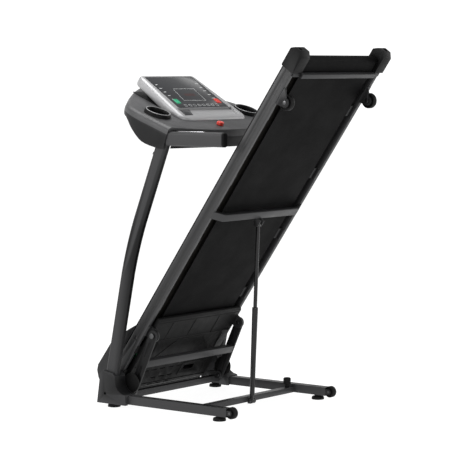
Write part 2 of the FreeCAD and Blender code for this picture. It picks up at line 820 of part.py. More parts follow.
def belt_loop(r, x0, x1, u0, r0, u1, r1):
    """A closed band round two rollers of radius r0 at u0 and r1 at u1, its inside at those radii."""
    tilt = atan2(r1 - r0, u1 - u0)
    outer = loop_solid(x0, x1, u0, r0 + r, u1, r1 + r, tilt)
    inner = loop_solid(x0 - 1, x1 + 1, u0, r0, u1, r1, tilt)
    return outer.cut(inner)


def loop_solid(x0, x1, u0, r0, u1, r1, tilt):
    c, s = cos(tilt), sin(tilt)
    points = [(u0 - r0 * s, roller_v + r0 * c), (u1 - r1 * s, roller_v + r1 * c),
              (u1 - r1 * s, roller_v - r1 * c), (u0 - r0 * s, roller_v - r0 * c)]
    middle = deck_prism(points, x0, x1)
    return joined(middle, deck_tube(r0, x0, x1, u0, roller_v), deck_tube(r1, x0, x1, u1, roller_v))


def running_belt():
    half = belt_width / 2
    return lean_deck(belt_loop(belt_thickness, -half, half, front_roller_u, roller_radius + 0.05,
                               rear_roller_u, roller_radius + 0.05))


def roller(u):
    half = belt_width / 2 + 3
    body = deck_tube(roller_radius, -half, half, u, roller_v)
    return body.cut(deck_tube(axle_radius + running_gap, -half - 1, half + 30, u, roller_v))


def front_roller():
    wheel = deck_tube(roller_pulley_radius, pulley_x0, pulley_x0 + pulley_width, front_roller_u, roller_v)
    hub = deck_tube(12, belt_width / 2 + 3, pulley_x0, front_roller_u, roller_v)
    both = wheel.fuse(hub).cut(deck_tube(axle_radius + running_gap, 0, 400, front_roller_u, roller_v))
    return lean_deck(roller(front_roller_u).fuse(both).removeSplitter())


def roller_axles():
    axles = []
    for u in (front_roller_u, rear_roller_u):
        axles.append(lean_deck(deck_tube(axle_radius, -rail_outer_x + 1, rail_outer_x - 1, u, roller_v)))
    return Part.makeCompound(axles)


def motor_shaft():
    x1 = pulley_x0 + pulley_width
    shaft = deck_tube(6, -82, x1, motor_u, motor_v)
    wheel = deck_tube(motor_pulley_radius, pulley_x0, x1, motor_u, motor_v)
    flywheel = deck_tube(motor_radius - 3, 104, 124, motor_u, motor_v)
    return lean_deck(joined(shaft, wheel, flywheel))


def drive_motor():
    can = deck_tube(motor_radius, -74, 84, motor_u, motor_v)
    can = can.fuse(deck_box(-60, 70, motor_u - 38, motor_u + 38, motor_mount_v, 90)).removeSplitter()
    can = can.cut(deck_tube(6 + running_gap, -90, 99, motor_u, motor_v))
    return lean_deck(can)


def motor_mount():
    """Plate under the motor, carried between the side rails."""
    u0, u1 = motor_u - 46, motor_u + 46
    return lean_deck(deck_box(-rail_inner_x + 0.1, 98, u0, u1, motor_mount_v - 6, motor_mount_v - 0.1))


def drive_belt():
    thick = 2.5
    x0 = pulley_x0 + 2
    x1 = pulley_x0 + pulley_width - 2
    span = hypot(front_roller_u - motor_u, motor_v - roller_v)
    lean = degrees(atan2(motor_v - roller_v, front_roller_u - motor_u))
    c = (roller_pulley_radius - motor_pulley_radius) / span
    s = (1 - c * c) ** 0.5

    def loop(extra, xa, xb):
        big = roller_pulley_radius + extra
        small = motor_pulley_radius + extra
        body = side_prism([(c * big, s * big), (c * big, -s * big), (span + c * small, -s * small),
                           (span + c * small, s * small)], xa, xb)
        return joined(body, tubeX(big, xa, xb, 0, 0), tubeX(small, xa, xb, span, 0))

    band = loop(thick, x0, x1).cut(loop(0.05, x0 - 1, x1 + 1))
    band.rotate(V(0, 0, 0), V(1, 0, 0), lean)
    band.translate(V(0, -front_roller_u, roller_v))
    return lean_deck(band)


def foot_rails():
    edge = rail_outer_x - 1
    strip = deck_box(rail_inner_x + 2, edge, hood_end_u, cap_start_u, rail_v1, rail_v1 + 3)
    lip = deck_box(belt_width / 2 - 8, edge, hood_end_u, cap_start_u, rail_v1 + 2.9, rail_v1 + 6)
    return pair(lean_deck(joined(strip, lip)))


def end_caps():
    x0, x1 = belt_width / 2 + 12, rail_outer_x + 8
    outline = [(cap_start_u, 53), (cap_end_u - 18, 53), (cap_end_u, 68), (cap_end_u, 95),
               (cap_end_u - 13, 110), (cap_start_u, 110)]
    cap = deck_prism(outline, x0, x1)
    cap = round_edges(cap, 5, V(1, 0, 0))
    room = deck_box(rail_inner_x - 0.3, rail_outer_x + 0.3, 0, deck_end_u + 0.3, rail_v0 - 0.3, rail_v1 + 0.3)
    cap = cap.cut(room)
    middle = (rail_inner_x + rail_outer_x) / 2
    cap = cap.cut(deck_box(middle - 6, middle + 6, deck_end_u, cap_end_u + 9, 74, 94))
    cap = cap.cut(deck_tube(23.5, x0 - 1, rail_inner_x - 22, rear_roller_u, roller_v))
    cap = cap.cut(deck_tube(axle_radius + 1, x0 - 1, x1 - 3, rear_roller_u, roller_v))
    return pair(lean_deck(cap))


cushion_places = (420.0, 700.0, 980.0, 1260.0)


def deck_cushions():
    pads = []
    for u in cushion_places:
        pad = tubeZ(8.5, rail_inner_x - 10, -u, 76, board_top_v - board_thickness)
        pads += [lean_deck(pad), lean_deck(mirrored(pad))]
    return Part.makeCompound(pads)


def cushion_bracket(u):
    shelf = deck_box(rail_inner_x - 20, rail_inner_x, u - 22, u + 22, 72, 76)
    leg = deck_box(rail_inner_x - 3, rail_inner_x, u - 22, u + 22, rail_v0, 72)
    return joined(shelf, leg)


# both casters are the same hand: the plate is on the left of its wheel
caster_width = 20.0
caster_left_x = 1.4 - rail_outer_x
caster_right_x = rail_inner_x - 16.4


def caster_bracket(x0):
    """A flange under the side rail with the plate that carries the wheel."""
    x1 = x0 + plate
    flange_x = (x0, x0 + 27) if x0 > 0 else (x0, -rail_inner_x)
    flange = deck_box(flange_x[0], flange_x[1], caster_u - 24, caster_u + 40, rail_v0 - 3, rail_v0)
    upper = deck_box(x0, x1, caster_u - 24, caster_u + 40, 50, rail_v0)
    head = deck_tube(17, x0, x1, caster_u, caster_v)
    web = deck_prism([(caster_u - 17, caster_v), (caster_u + 17, caster_v), (caster_u + 40, 52),
                      (caster_u - 24, 52)], x0, x1)
    return joined(flange, upper, head, web).cut(deck_tube(axle_radius, x0 - 1, x1 + 1, caster_u, caster_v))


def deck_pivot_bracket():
    x1 = arm_x0 - side_gap
    x0 = x1 - ear_thickness
    tab = deck_box(x0, x1, deck_pivot_u - 22, deck_pivot_u + 22, deck_pivot_v, rail_v0)
    head = deck_tube(22, x0, x1, deck_pivot_u, deck_pivot_v)
    flange = deck_box(x0, rail_outer_x - 2, deck_pivot_u - 22, deck_pivot_u + 22, rail_v0 - 4, rail_v0)
    return joined(tab, head, flange).cut(deck_tube(pin_radius, x0 - 1, x1 + 1, deck_pivot_u, deck_pivot_v))


def strut_head_ears():
    ears = []
    for x in (-strut_eye_half - 2.5 - plate, strut_eye_half + 2.5):
        tab = deck_box(x, x + plate, strut_head_u, mid_bar_u[0], strut_head_v - 10, mid_bar_v0 + 14)
        head = deck_tube(10, x, x + plate, strut_head_u, strut_head_v)
        ears.append(joined(tab, head))
    return ears


def deck_brackets():
    pieces = []
    for u in cushion_places:
        pieces += [cushion_bracket(u), mirrored(cushion_bracket(u))]
    pieces += [caster_bracket(caster_left_x), caster_bracket(caster_right_x)]
    pieces += [deck_pivot_bracket(), mirrored(deck_pivot_bracket())]
    pieces += strut_head_ears()
    return Part.makeCompound([lean_deck(piece) for piece in pieces])


def deck_bolts():
    arm_end = arm_x0 + arm_thickness + side_gap
    pivot = joined(deck_tube(pin_radius, arm_x0 - side_gap - ear_thickness, arm_end, deck_pivot_u, deck_pivot_v),
                   deck_tube(10, arm_end, arm_end + 5, deck_pivot_u, deck_pivot_v))
    casters = []
    for x0 in (caster_left_x, caster_right_x):
        x1 = x0 + plate + side_gap + caster_width + 2
        head_x = (x0 - 3, x0) if x0 > 0 else (x0 - 1.3, x0)
        casters.append(lean_deck(joined(deck_tube(axle_radius, x0, x1, caster_u, caster_v),
                                        deck_tube(7, head_x[0], head_x[1], caster_u, caster_v))))
    adjuster = Part.makeCylinder(bolt_radius, 40, V(rail_inner_x + rail_width / 2, -deck_end_u - 14, roller_v),
                                 V(0, 1, 0))
    adjuster = adjuster.common(deck_box(0, 400, rear_roller_u + axle_radius + 0.2, deck_end_u + 14, 0, 200))
    pieces = casters
    for one in (pivot, adjuster):
        pieces += [lean_deck(one), lean_deck(mirrored(one))]
    return Part.makeCompound(pieces)


def caster_wheel(plate_x):
    x0 = plate_x + plate + side_gap
    wheel = deck_tube(caster_radius, x0, x0 + caster_width, caster_u, caster_v)
    wheel = wheel.makeChamfer(2.5, [e for e in wheel.Edges if e.Curve.TypeId == "Part::GeomCircle"])
    bore = deck_tube(axle_radius + running_gap, x0 - 1, x0 + caster_width + 1, caster_u, caster_v)
    return lean_deck(wheel.cut(bore))


vent_rows = ((109.0, -166.0, 5), (69.0, -98.0, 3), (36.0, -98.0, 3))
vent_pitch = 48.0
vent_length = 28.0


def belly_pan():
    w = shell_wall
    half = pan_half_width
    start, stop, low = pan_front_u, pan_end_u, pan_v0
    outline = [(start, pan_v1), (start, low + 4), (start + 8, low), (stop - 8, low), (stop, low + 6),
               (stop, pan_v1)]
    inside = [(start + w, pan_v1 + 1), (start + w, low + 4 + w), (start + 10, low + w), (stop - 9, low + w),
              (stop - w, low + 7 + w), (stop - w, pan_v1 + 1)]
    pan = deck_prism(outline, -half, half).cut(deck_prism(inside, -half + w, half - w))
    lips = [deck_box(-half, half, start, start + w, pan_v1 - 1, front_bar_v[0] - 0.1)]
    for u in (90, 200):
        tab = deck_box(half - w, rail_outer_x - 3, u, u + 30, pan_v1 - 1, rail_v0 - 0.1)
        lips += [tab, mirrored(tab)]
    pan = joined(pan, *lips)
    for u, x0, count in vent_rows:
        for slot in range(count):
            x = x0 + slot * vent_pitch
            pan = pan.cut(deck_box(x, x + vent_length, u, u + 4, 0, 52))
    pan = pan.cut(deck_box(76, 136, 84, 106, 0, 52))
    return lean_deck(pan)


def hood_outline(inset):
    """Side view of the motor hood from its front lip over the top to the running surface."""
    front = hood_front_u + inset
    return [(front, 61), (front + 3, 120), (front + 14, 142 - inset / 2), (front + 32, 162 - inset),
            (54, 170 - inset), (162, 167 - inset), (245, 134 - inset), (hood_end_u - inset, 111 - inset / 2),
            (hood_end_u - inset, 61)]


def motor_hood():
    half = hood_half_width
    hood = deck_prism(hood_outline(0), -half, half)
    hood = hood.cut(deck_prism(hood_outline(shell_wall), -half + shell_wall, half - shell_wall))
    room = deck_box(-rail_outer_x - 0.3, rail_outer_x + 0.3, 20, 400, 0, rail_v1 + 0.3)
    hood = hood.cut(room)
    hood = hood.cut(deck_box(-half, half, 200, 400, 0, rail_v1 + 6.3))
    hood = hood.cut(deck_box(-150, -112, hood_front_u - 16, hood_front_u + 14, 72, 98))
    hood = hood.cut(deck_box(-100, -76, hood_front_u - 16, hood_front_u + 14, 73.4, 90.6))
    return lean_deck(hood)


def power_inlet():
    """Mains socket, and beside it the frame that carries the rocker behind the hood's front wall."""
    face = hood_front_u
    back = face + 19
    body = joined(deck_box(-152, -72, face + 5, back, 70, 100),
                  deck_box(-149, -113, face - 1, face + 5, 73, 97))
    body = body.cut(deck_box(-144, -118, face - 2, back - 4, 77, 93))
    body = body.cut(deck_box(-100, -76, face - 2, back + 1, 73.4, 90.6))
    body = body.cut(deck_tube(rocker_pin_radius + running_gap, -103, -73, rocker_u, rocker_v))
    pins = [deck_box(x - 1, x + 1, face + 4, back - 3, 82, 88) for x in (-138, -131, -124)]
    return lean_deck(joined(body, *pins))


def power_switch():
    rocker = round_edges(deck_box(-99, -77, hood_front_u - 1.5, hood_front_u + 18, 75, 89), 1.5, V(1, 0, 0))
    pin = deck_tube(rocker_pin_radius, -102.5, -73.5, rocker_u, rocker_v)
    return lean_deck(joined(rocker, pin))


def control_board():
    x0 = 34.4 - rail_inner_x
    return lean_deck(deck_box(x0, x0 + 104, 60, 190, motor_mount_v + 0.1, motor_mount_v + 30))


# build, centre on the footprint and write
parts = {
    "base_side_tubes": base_side_tubes(),
    "base_cross_tubes": base_cross_tubes(),
    "levelling_feet": levelling_feet(),
    "base_brackets": base_brackets(),
    "base_pins": base_pins(),
    "rubber_stop": rubber_stop(),
    "upright_left": upright(-1),
    "upright_right": upright(1),
    "upright_cover_left": upright_cover(-1),
    "upright_cover_right": upright_cover(1),
    "hinge_covers": hinge_covers(),
    "upright_bolts": upright_bolts(),
    "console_crossbar": console_crossbar(),
    "tray_top": tray_top(),
    "tray_bottom": tray_bottom(),
    "cup_left": cup(-1),
    "cup_right": cup(1),
    "safety_key_socket": safety_key_socket(),
    "safety_key": safety_key(),
    "handrails": handrails(),
    "handrail_caps": handrail_caps(),
    "pulse_plates": pulse_plates(),
    "console_housing": console_housing(),
    "console_back": console_back(),
    "console_glass": console_glass(),
    "display_board": display_board(),
    "start_button": button(*button_places[0]),
    "stop_button": button(*button_places[1]),
    "base_wheel_left": mirrored(base_wheel()),
    "base_wheel_right": base_wheel(),
    "lift_arm_left": lift_arm(-1),
    "lift_arm_right": lift_arm(1),
    "lift_cross_tube": lift_cross_tube(),
    "strut_cylinder": strut_cylinder(),
    "strut_rod": strut_rod(),
    "deck_rail_left": deck_rail(-1),
    "deck_rail_right": deck_rail(1),
    "deck_cross_bars": deck_cross_bars(),
    "mid_bar": mid_bar(),
    "deck_board": deck_board(),
    "running_belt": running_belt(),
    "front_roller": front_roller(),
    "rear_roller": lean_deck(roller(rear_roller_u)),
    "roller_axles": roller_axles(),
    "foot_rails": foot_rails(),
    "end_caps": end_caps(),
    "deck_cushions": deck_cushions(),
    "deck_brackets": deck_brackets(),
    "deck_bolts": deck_bolts(),
    "caster_wheel_left": caster_wheel(caster_left_x),
    "caster_wheel_right": caster_wheel(caster_right_x),
    "drive_motor": drive_motor(),
    "motor_shaft": motor_shaft(),
    "motor_mount": motor_mount(),
    "drive_belt": drive_belt(),
    "control_board": control_board(),
    "belly_pan": belly_pan(),
    "motor_hood": motor_hood(),
    "power_inlet": power_inlet(),
    "power_switch": power_switch(),
}

whole = Part.makeCompound(list(parts.values())).BoundBox
centre_y = (whole.YMin + whole.YMax) / 2
os.makedirs("parts", exist_ok=True)
for name, shape in parts.items():
    shape = shape.copy()
    shape.translate(V(0, -centre_y, 0))
    shape.exportStep("parts/" + name + ".step")

print("size", round(whole.XLength), round(whole.YLength), round(whole.ZLength), "centre y", round(centre_y, 3))
print("fold pin", fold_y - centre_y, fold_z)
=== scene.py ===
import bpy
import json
from math import atan2, cos, pi, radians, sin, tan
from mathutils import Matrix, Vector


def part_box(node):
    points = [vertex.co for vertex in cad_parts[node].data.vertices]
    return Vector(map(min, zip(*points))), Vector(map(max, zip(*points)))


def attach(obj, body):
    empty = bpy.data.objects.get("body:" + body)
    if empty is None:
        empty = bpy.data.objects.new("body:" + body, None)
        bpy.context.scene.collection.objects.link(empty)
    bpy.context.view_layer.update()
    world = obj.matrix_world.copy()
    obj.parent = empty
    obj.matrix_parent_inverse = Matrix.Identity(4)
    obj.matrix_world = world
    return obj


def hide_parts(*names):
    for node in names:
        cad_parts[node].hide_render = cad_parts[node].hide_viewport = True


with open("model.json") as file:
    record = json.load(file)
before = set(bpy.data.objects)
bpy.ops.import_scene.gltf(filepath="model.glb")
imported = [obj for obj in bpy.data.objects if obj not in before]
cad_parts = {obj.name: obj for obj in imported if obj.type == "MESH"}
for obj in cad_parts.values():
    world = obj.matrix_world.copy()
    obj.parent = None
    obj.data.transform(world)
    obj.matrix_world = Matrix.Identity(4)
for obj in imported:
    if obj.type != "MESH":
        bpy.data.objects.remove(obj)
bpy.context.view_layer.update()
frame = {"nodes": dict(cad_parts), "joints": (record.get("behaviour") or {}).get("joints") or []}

# Folding treadmill, stored upright: looks for every piece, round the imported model.
# Metres. X runs to the user's right, Y towards the motor, Z up.

mm = 0.001
cadNodes = frame["nodes"]
jointNamed = {joint["name"]: joint for joint in frame["joints"]}

layout = {
    "footRadius": 23.5 * mm,       # rubber feet
    "deckLean": radians(55.0),     # stored deck above the floor
    "cupCollar": 50.0 * mm,        # widest circle of the cup's collar
    "cupFoot": 40.0 * mm,
    "cupDepth": 62.0 * mm,
    "consoleAhead": 76.5 * mm,     # console centre from the tray's middle
    "consoleAbove": 77.5 * mm,
}

feetLow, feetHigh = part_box("levelling_feet")
frontFootY = feetHigh.y - layout["footRadius"]
footX = feetHigh.x - layout["footRadius"]

trayTilt = atan2(-jointNamed["safety_key_pull"]["axis"][1], jointNamed["safety_key_pull"]["axis"][2])
consoleTilt = atan2(jointNamed["start_press"]["axis"][1], -jointNamed["start_press"]["axis"][2])
cupLow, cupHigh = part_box("cup_right")
trayZ = cupLow.z + layout["cupDepth"] * cos(trayTilt) + layout["cupFoot"] * sin(trayTilt)
trayY = cupLow.y + layout["cupCollar"] * cos(trayTilt)
cupX = (cupLow.x + cupHigh.x) / 2

# frames: drawn flat, then carried to their place
onDeck = Matrix.Translation((0, frontFootY, 0)) @ Matrix.Rotation(-layout["deckLean"], 4, "X")
onTray = Matrix.Translation((0, trayY, trayZ)) @ Matrix.Rotation(trayTilt, 4, "X")
onConsole = Matrix.Translation((0, trayY + layout["consoleAhead"], trayZ + layout["consoleAbove"]))
onConsole = onConsole @ Matrix.Rotation(consoleTilt, 4, "X")
onSide = Matrix(((0, 0, 1, 0), (1, 0, 0, 0), (0, 1, 0, 0), (0, 0, 0, 1)))  # outline in Y-Z, thickness in X


# small working steps
def dropSelection():
    if bpy.context.mode != "OBJECT":
        bpy.ops.object.mode_set(mode="OBJECT")
    bpy.ops.object.select_all(action="DESELECT")


def pick(obj):
    dropSelection()
    obj.select_set(True)
    bpy.context.view_layer.objects.active = obj


def bakePlace(obj):
    pick(obj)
    bpy.ops.object.transform_apply(location=True, rotation=True, scale=True)


def carry(obj, matrix):
    obj.matrix_world = matrix @ obj.matrix_world
    bakePlace(obj)
    return obj


def cleanNormals(obj):
    pick(obj)
    bpy.ops.object.mode_set(mode="EDIT")
    bpy.ops.mesh.select_all(action="SELECT")
    bpy.ops.mesh.remove_doubles(threshold=0.00001)
    bpy.ops.mesh.normals_make_consistent(inside=False)
    bpy.ops.object.mode_set(mode="OBJECT")


def smooth(obj, angle=32):
    pick(obj)
    bpy.ops.object.shade_smooth_by_angle(angle=radians(angle))
    return obj


def bevel(obj, width, segments=3, angle=30):
    pick(obj)
    soft = obj.modifiers.new("soft edges", "BEVEL")
    soft.width = width
    soft.segments = segments
    soft.limit_method = "ANGLE"
    soft.angle_limit = radians(angle)
    soft.use_clamp_overlap = True
    soft.harden_normals = False
    bpy.ops.object.modifier_apply(modifier=soft.name)
    return obj


def cutAway(obj, tool):
    pick(obj)
    hole = obj.modifiers.new("cut", "BOOLEAN")
    hole.operation = "DIFFERENCE"
    hole.solver = "EXACT"
    hole.object = tool
    bpy.ops.object.modifier_apply(modifier=hole.name)
    bpy.data.objects.remove(tool)
    return obj


def joinPieces(name, pieces):
    dropSelection()
    for piece in pieces:
        piece.select_set(True)
    bpy.context.view_layer.objects.active = pieces[0]
    bpy.ops.object.join()
    whole = bpy.context.object
    whole.name = name
    return whole


def boxPiece(name, low, high):
    dropSelection()
    centre = [(a + b) / 2 for a, b in zip(low, high)]
    size = [b - a for a, b in zip(low, high)]
    bpy.ops.mesh.primitive_cube_add(size=1, location=centre, scale=size)
    obj = bpy.context.object
    obj.name = name
    bakePlace(obj)
    return obj


def turned(name, profile, matrix, steps=48):
    dropSelection()
    radius, along = profile[0]
    bpy.ops.mesh.primitive_circle_add(vertices=steps, radius=radius, fill_type="NGON", location=(0, 0, along))
    obj = bpy.context.object
    obj.name = name
    bakePlace(obj)
    bpy.ops.object.mode_set(mode="EDIT")
    bpy.ops.mesh.select_all(action="SELECT")
    for (radiusA, alongA), (radiusB, alongB) in zip(profile, profile[1:]):
        grow = radiusB / radiusA
        bpy.ops.mesh.extrude_region_move(TRANSFORM_OT_translate={"value": (0, 0, alongB - alongA)})
        bpy.ops.transform.resize(value=(grow, grow, 1), center_override=(0, 0, alongB))
    bpy.ops.object.mode_set(mode="OBJECT")
    cleanNormals(obj)
    return carry(obj, matrix)


def outlined(name, points, low, high, matrix):
    dropSelection()
    bpy.ops.mesh.primitive_plane_add(size=0.01, location=(points[0][0], points[0][1], low))
    obj = bpy.context.object
    obj.name = name
    bakePlace(obj)
    bpy.ops.object.mode_set(mode="EDIT")
    bpy.ops.mesh.select_mode(type="VERT")
    bpy.ops.mesh.select_all(action="SELECT")
    bpy.ops.mesh.merge(type="CENTER")
    for (xa, ya), (xb, yb) in zip(points, points[1:]):
        bpy.ops.mesh.extrude_vertices_move(TRANSFORM_OT_translate={"value": (xb - xa, yb - ya, 0)})
    bpy.ops.mesh.select_all(action="SELECT")
    bpy.ops.mesh.edge_face_add()
    bpy.ops.mesh.extrude_region_move(TRANSFORM_OT_translate={"value": (0, 0, high - low)})
    bpy.ops.object.mode_set(mode="OBJECT")
    cleanNormals(obj)
    return carry(obj, matrix)


def roundedOutline(corners, steps=6):
    points = []
    count = len(corners)
    for i, (x, y, radius) in enumerate(corners):
        here = Vector((x, y))
        before = Vector(corners[i - 1][:2]) - here
        after = Vector(corners[(i + 1) % count][:2]) - here
        if radius <= 0:
            points.append((x, y))
            continue
        half = before.angle(after) / 2
        reach = min(radius / tan(half), before.length * 0.49, after.length * 0.49)
        radius = reach * tan(half)
        middle = here + (before.normalized() + after.normalized()).normalized() * (radius / sin(half))
        start = here + before.normalized() * reach - middle
        stop = here + after.normalized() * reach - middle
        sweep = start.angle_signed(stop)
        for k in range(steps + 1):
            turn = -sweep * k / steps
            spoke = Vector((start.x * cos(turn) - start.y * sin(turn),
                            start.x * sin(turn) + start.y * cos(turn)))
            points.append(tuple(middle + spoke))
    return points


def refined(node, width):
    dropSelection()
    mesh = cadNodes[node].data.copy()
    obj = bpy.data.objects.new(node + "_piece", mesh)
    bpy.context.scene.collection.objects.link(obj)
    pick(obj)
    bpy.ops.object.mode_set(mode="EDIT")
    bpy.ops.mesh.select_all(action="SELECT")
    bpy.ops.mesh.remove_doubles(threshold=0.00001)
    bpy.ops.mesh.dissolve_limited(angle_limit=radians(0.6))
    bpy.ops.object.mode_set(mode="OBJECT")
    if width:
        bevel(obj, width, 2)
    obj.data.materials.clear()
    smooth(obj)
    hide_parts(node)
    return obj


def finish(obj, material, body):
    obj.data.materials.clear()
    obj.data.materials.append(material)
    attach(obj, body)
    return obj


# materials
def addNode(tree, kind, **values):
    node = tree.nodes.new(kind)
    for key, value in values.items():
        if key in node.inputs:
            node.inputs[key].default_value = value
        else:
            setattr(node, key, value)
    return node


def makeLook(name, look):
    material = bpy.data.materials.new(name)
    material.use_nodes = True
    tree = material.node_tree
    link = tree.links.new
    shader = tree.nodes["Principled BSDF"]
    shader.inputs["Metallic"].default_value = look.get("metallic", 0.0)
    shader.inputs["Coat Weight"].default_value = look.get("coat", 0.0)
    shader.inputs["Coat Roughness"].default_value = look.get("coatRoughness", 0.1)
    shader.inputs["Specular IOR Level"].default_value = look.get("specular", 0.5)
    place = addNode(tree, "ShaderNodeTexCoord")
    turn = addNode(tree, "ShaderNodeMapping")
    turn.inputs["Rotation"].default_value = (look.get("turn", 0.0), 0, 0)
    link(place.outputs["Object"], turn.inputs["Vector"])
    cloud = addNode(tree, "ShaderNodeTexNoise", Scale=look["cloud"], Detail=4.0, Roughness=0.6)
    link(turn.outputs["Vector"], cloud.inputs["Vector"])
    tone = addNode(tree, "ShaderNodeValToRGB")
    tone.color_ramp.elements[0].position = 0.3
    tone.color_ramp.elements[1].position = 0.7
    tone.color_ramp.elements[0].color = (*look["dark"], 1)
    tone.color_ramp.elements[1].color = (*look["light"], 1)
    link(cloud.outputs["Fac"], tone.inputs["Fac"])
    colour = tone.outputs["Color"]
    # painted highlight: sharp convex edges, found by pointiness, are lightened towards a lighter edge colour,
    # standing in for highlights along the edges
    if look.get("paintedEdgeHighlight"):
        edge = addNode(tree, "ShaderNodeNewGeometry")
        sharp = addNode(tree, "ShaderNodeValToRGB")
        sharp.color_ramp.elements[0].position = 0.52
        sharp.color_ramp.elements[1].position = 0.62
        link(edge.outputs["Pointiness"], sharp.inputs["Fac"])
        paintedEdgeLight = addNode(tree, "ShaderNodeMix", data_type="RGBA")
        link(sharp.outputs["Color"], paintedEdgeLight.inputs["Factor"])
        link(colour, paintedEdgeLight.inputs["A"])
        paintedEdgeLight.inputs["B"].default_value = (*look["paintedEdgeHighlight"], 1)
        colour = paintedEdgeLight.outputs["Result"]
    link(colour, shader.inputs["Base Color"])
    streak = addNode(tree, "ShaderNodeTexNoise", Scale=look["cloud"] * 3.3, Detail=5.0, Roughness=0.65)
    link(turn.outputs["Vector"], streak.inputs["Vector"])
    dull = addNode(tree, "ShaderNodeMapRange")
    dull.inputs["From Min"].default_value = 0.3
    dull.inputs["From Max"].default_value = 0.7
    dull.inputs["To Min"].default_value = look["rough"][0]
    dull.inputs["To Max"].default_value = look["rough"][1]
    link(streak.outputs["Fac"], dull.inputs["Value"])
    link(dull.outputs["Result"], shader.inputs["Roughness"])
    if look.get("pattern") == "diamond":
        height = diamondHeight(tree, turn, look)
    elif look.get("pattern") == "leather":
        cells = addNode(tree, "ShaderNodeTexVoronoi", Scale=look["grain"])
        link(turn.outputs["Vector"], cells.inputs["Vector"])
        height = cells.outputs["Distance"]
    else:
        grain = addNode(tree, "ShaderNodeTexNoise", Scale=look["grain"], Detail=2.0)
        link(turn.outputs["Vector"], grain.inputs["Vector"])
        height = grain.outputs["Fac"]
    bump = addNode(tree, "ShaderNodeBump", Strength=look["bump"], Distance=look["bumpDepth"])
    link(height, bump.inputs["Height"])
    link(bump.outputs["Normal"], shader.inputs["Normal"])
    return material


def diamondHeight(tree, turn, look):
    link = tree.links.new
    waves = []
    for angle in (45, -45):
        spin = addNode(tree, "ShaderNodeMapping")
        spin.inputs["Rotation"].default_value = (0, 0, radians(angle))
        link(turn.outputs["Vector"], spin.inputs["Vector"])
        wave = addNode(tree, "ShaderNodeTexWave", Scale=look["grain"], Distortion=0.0)
        link(spin.outputs["Vector"], wave.inputs["Vector"])
        waves.append(wave)
    both = addNode(tree, "ShaderNodeMath", operation="MULTIPLY")
    link(waves[0].outputs["Fac"], both.inputs[0])
    link(waves[1].outputs["Fac"], both.inputs[1])
    return both.outputs["Value"]
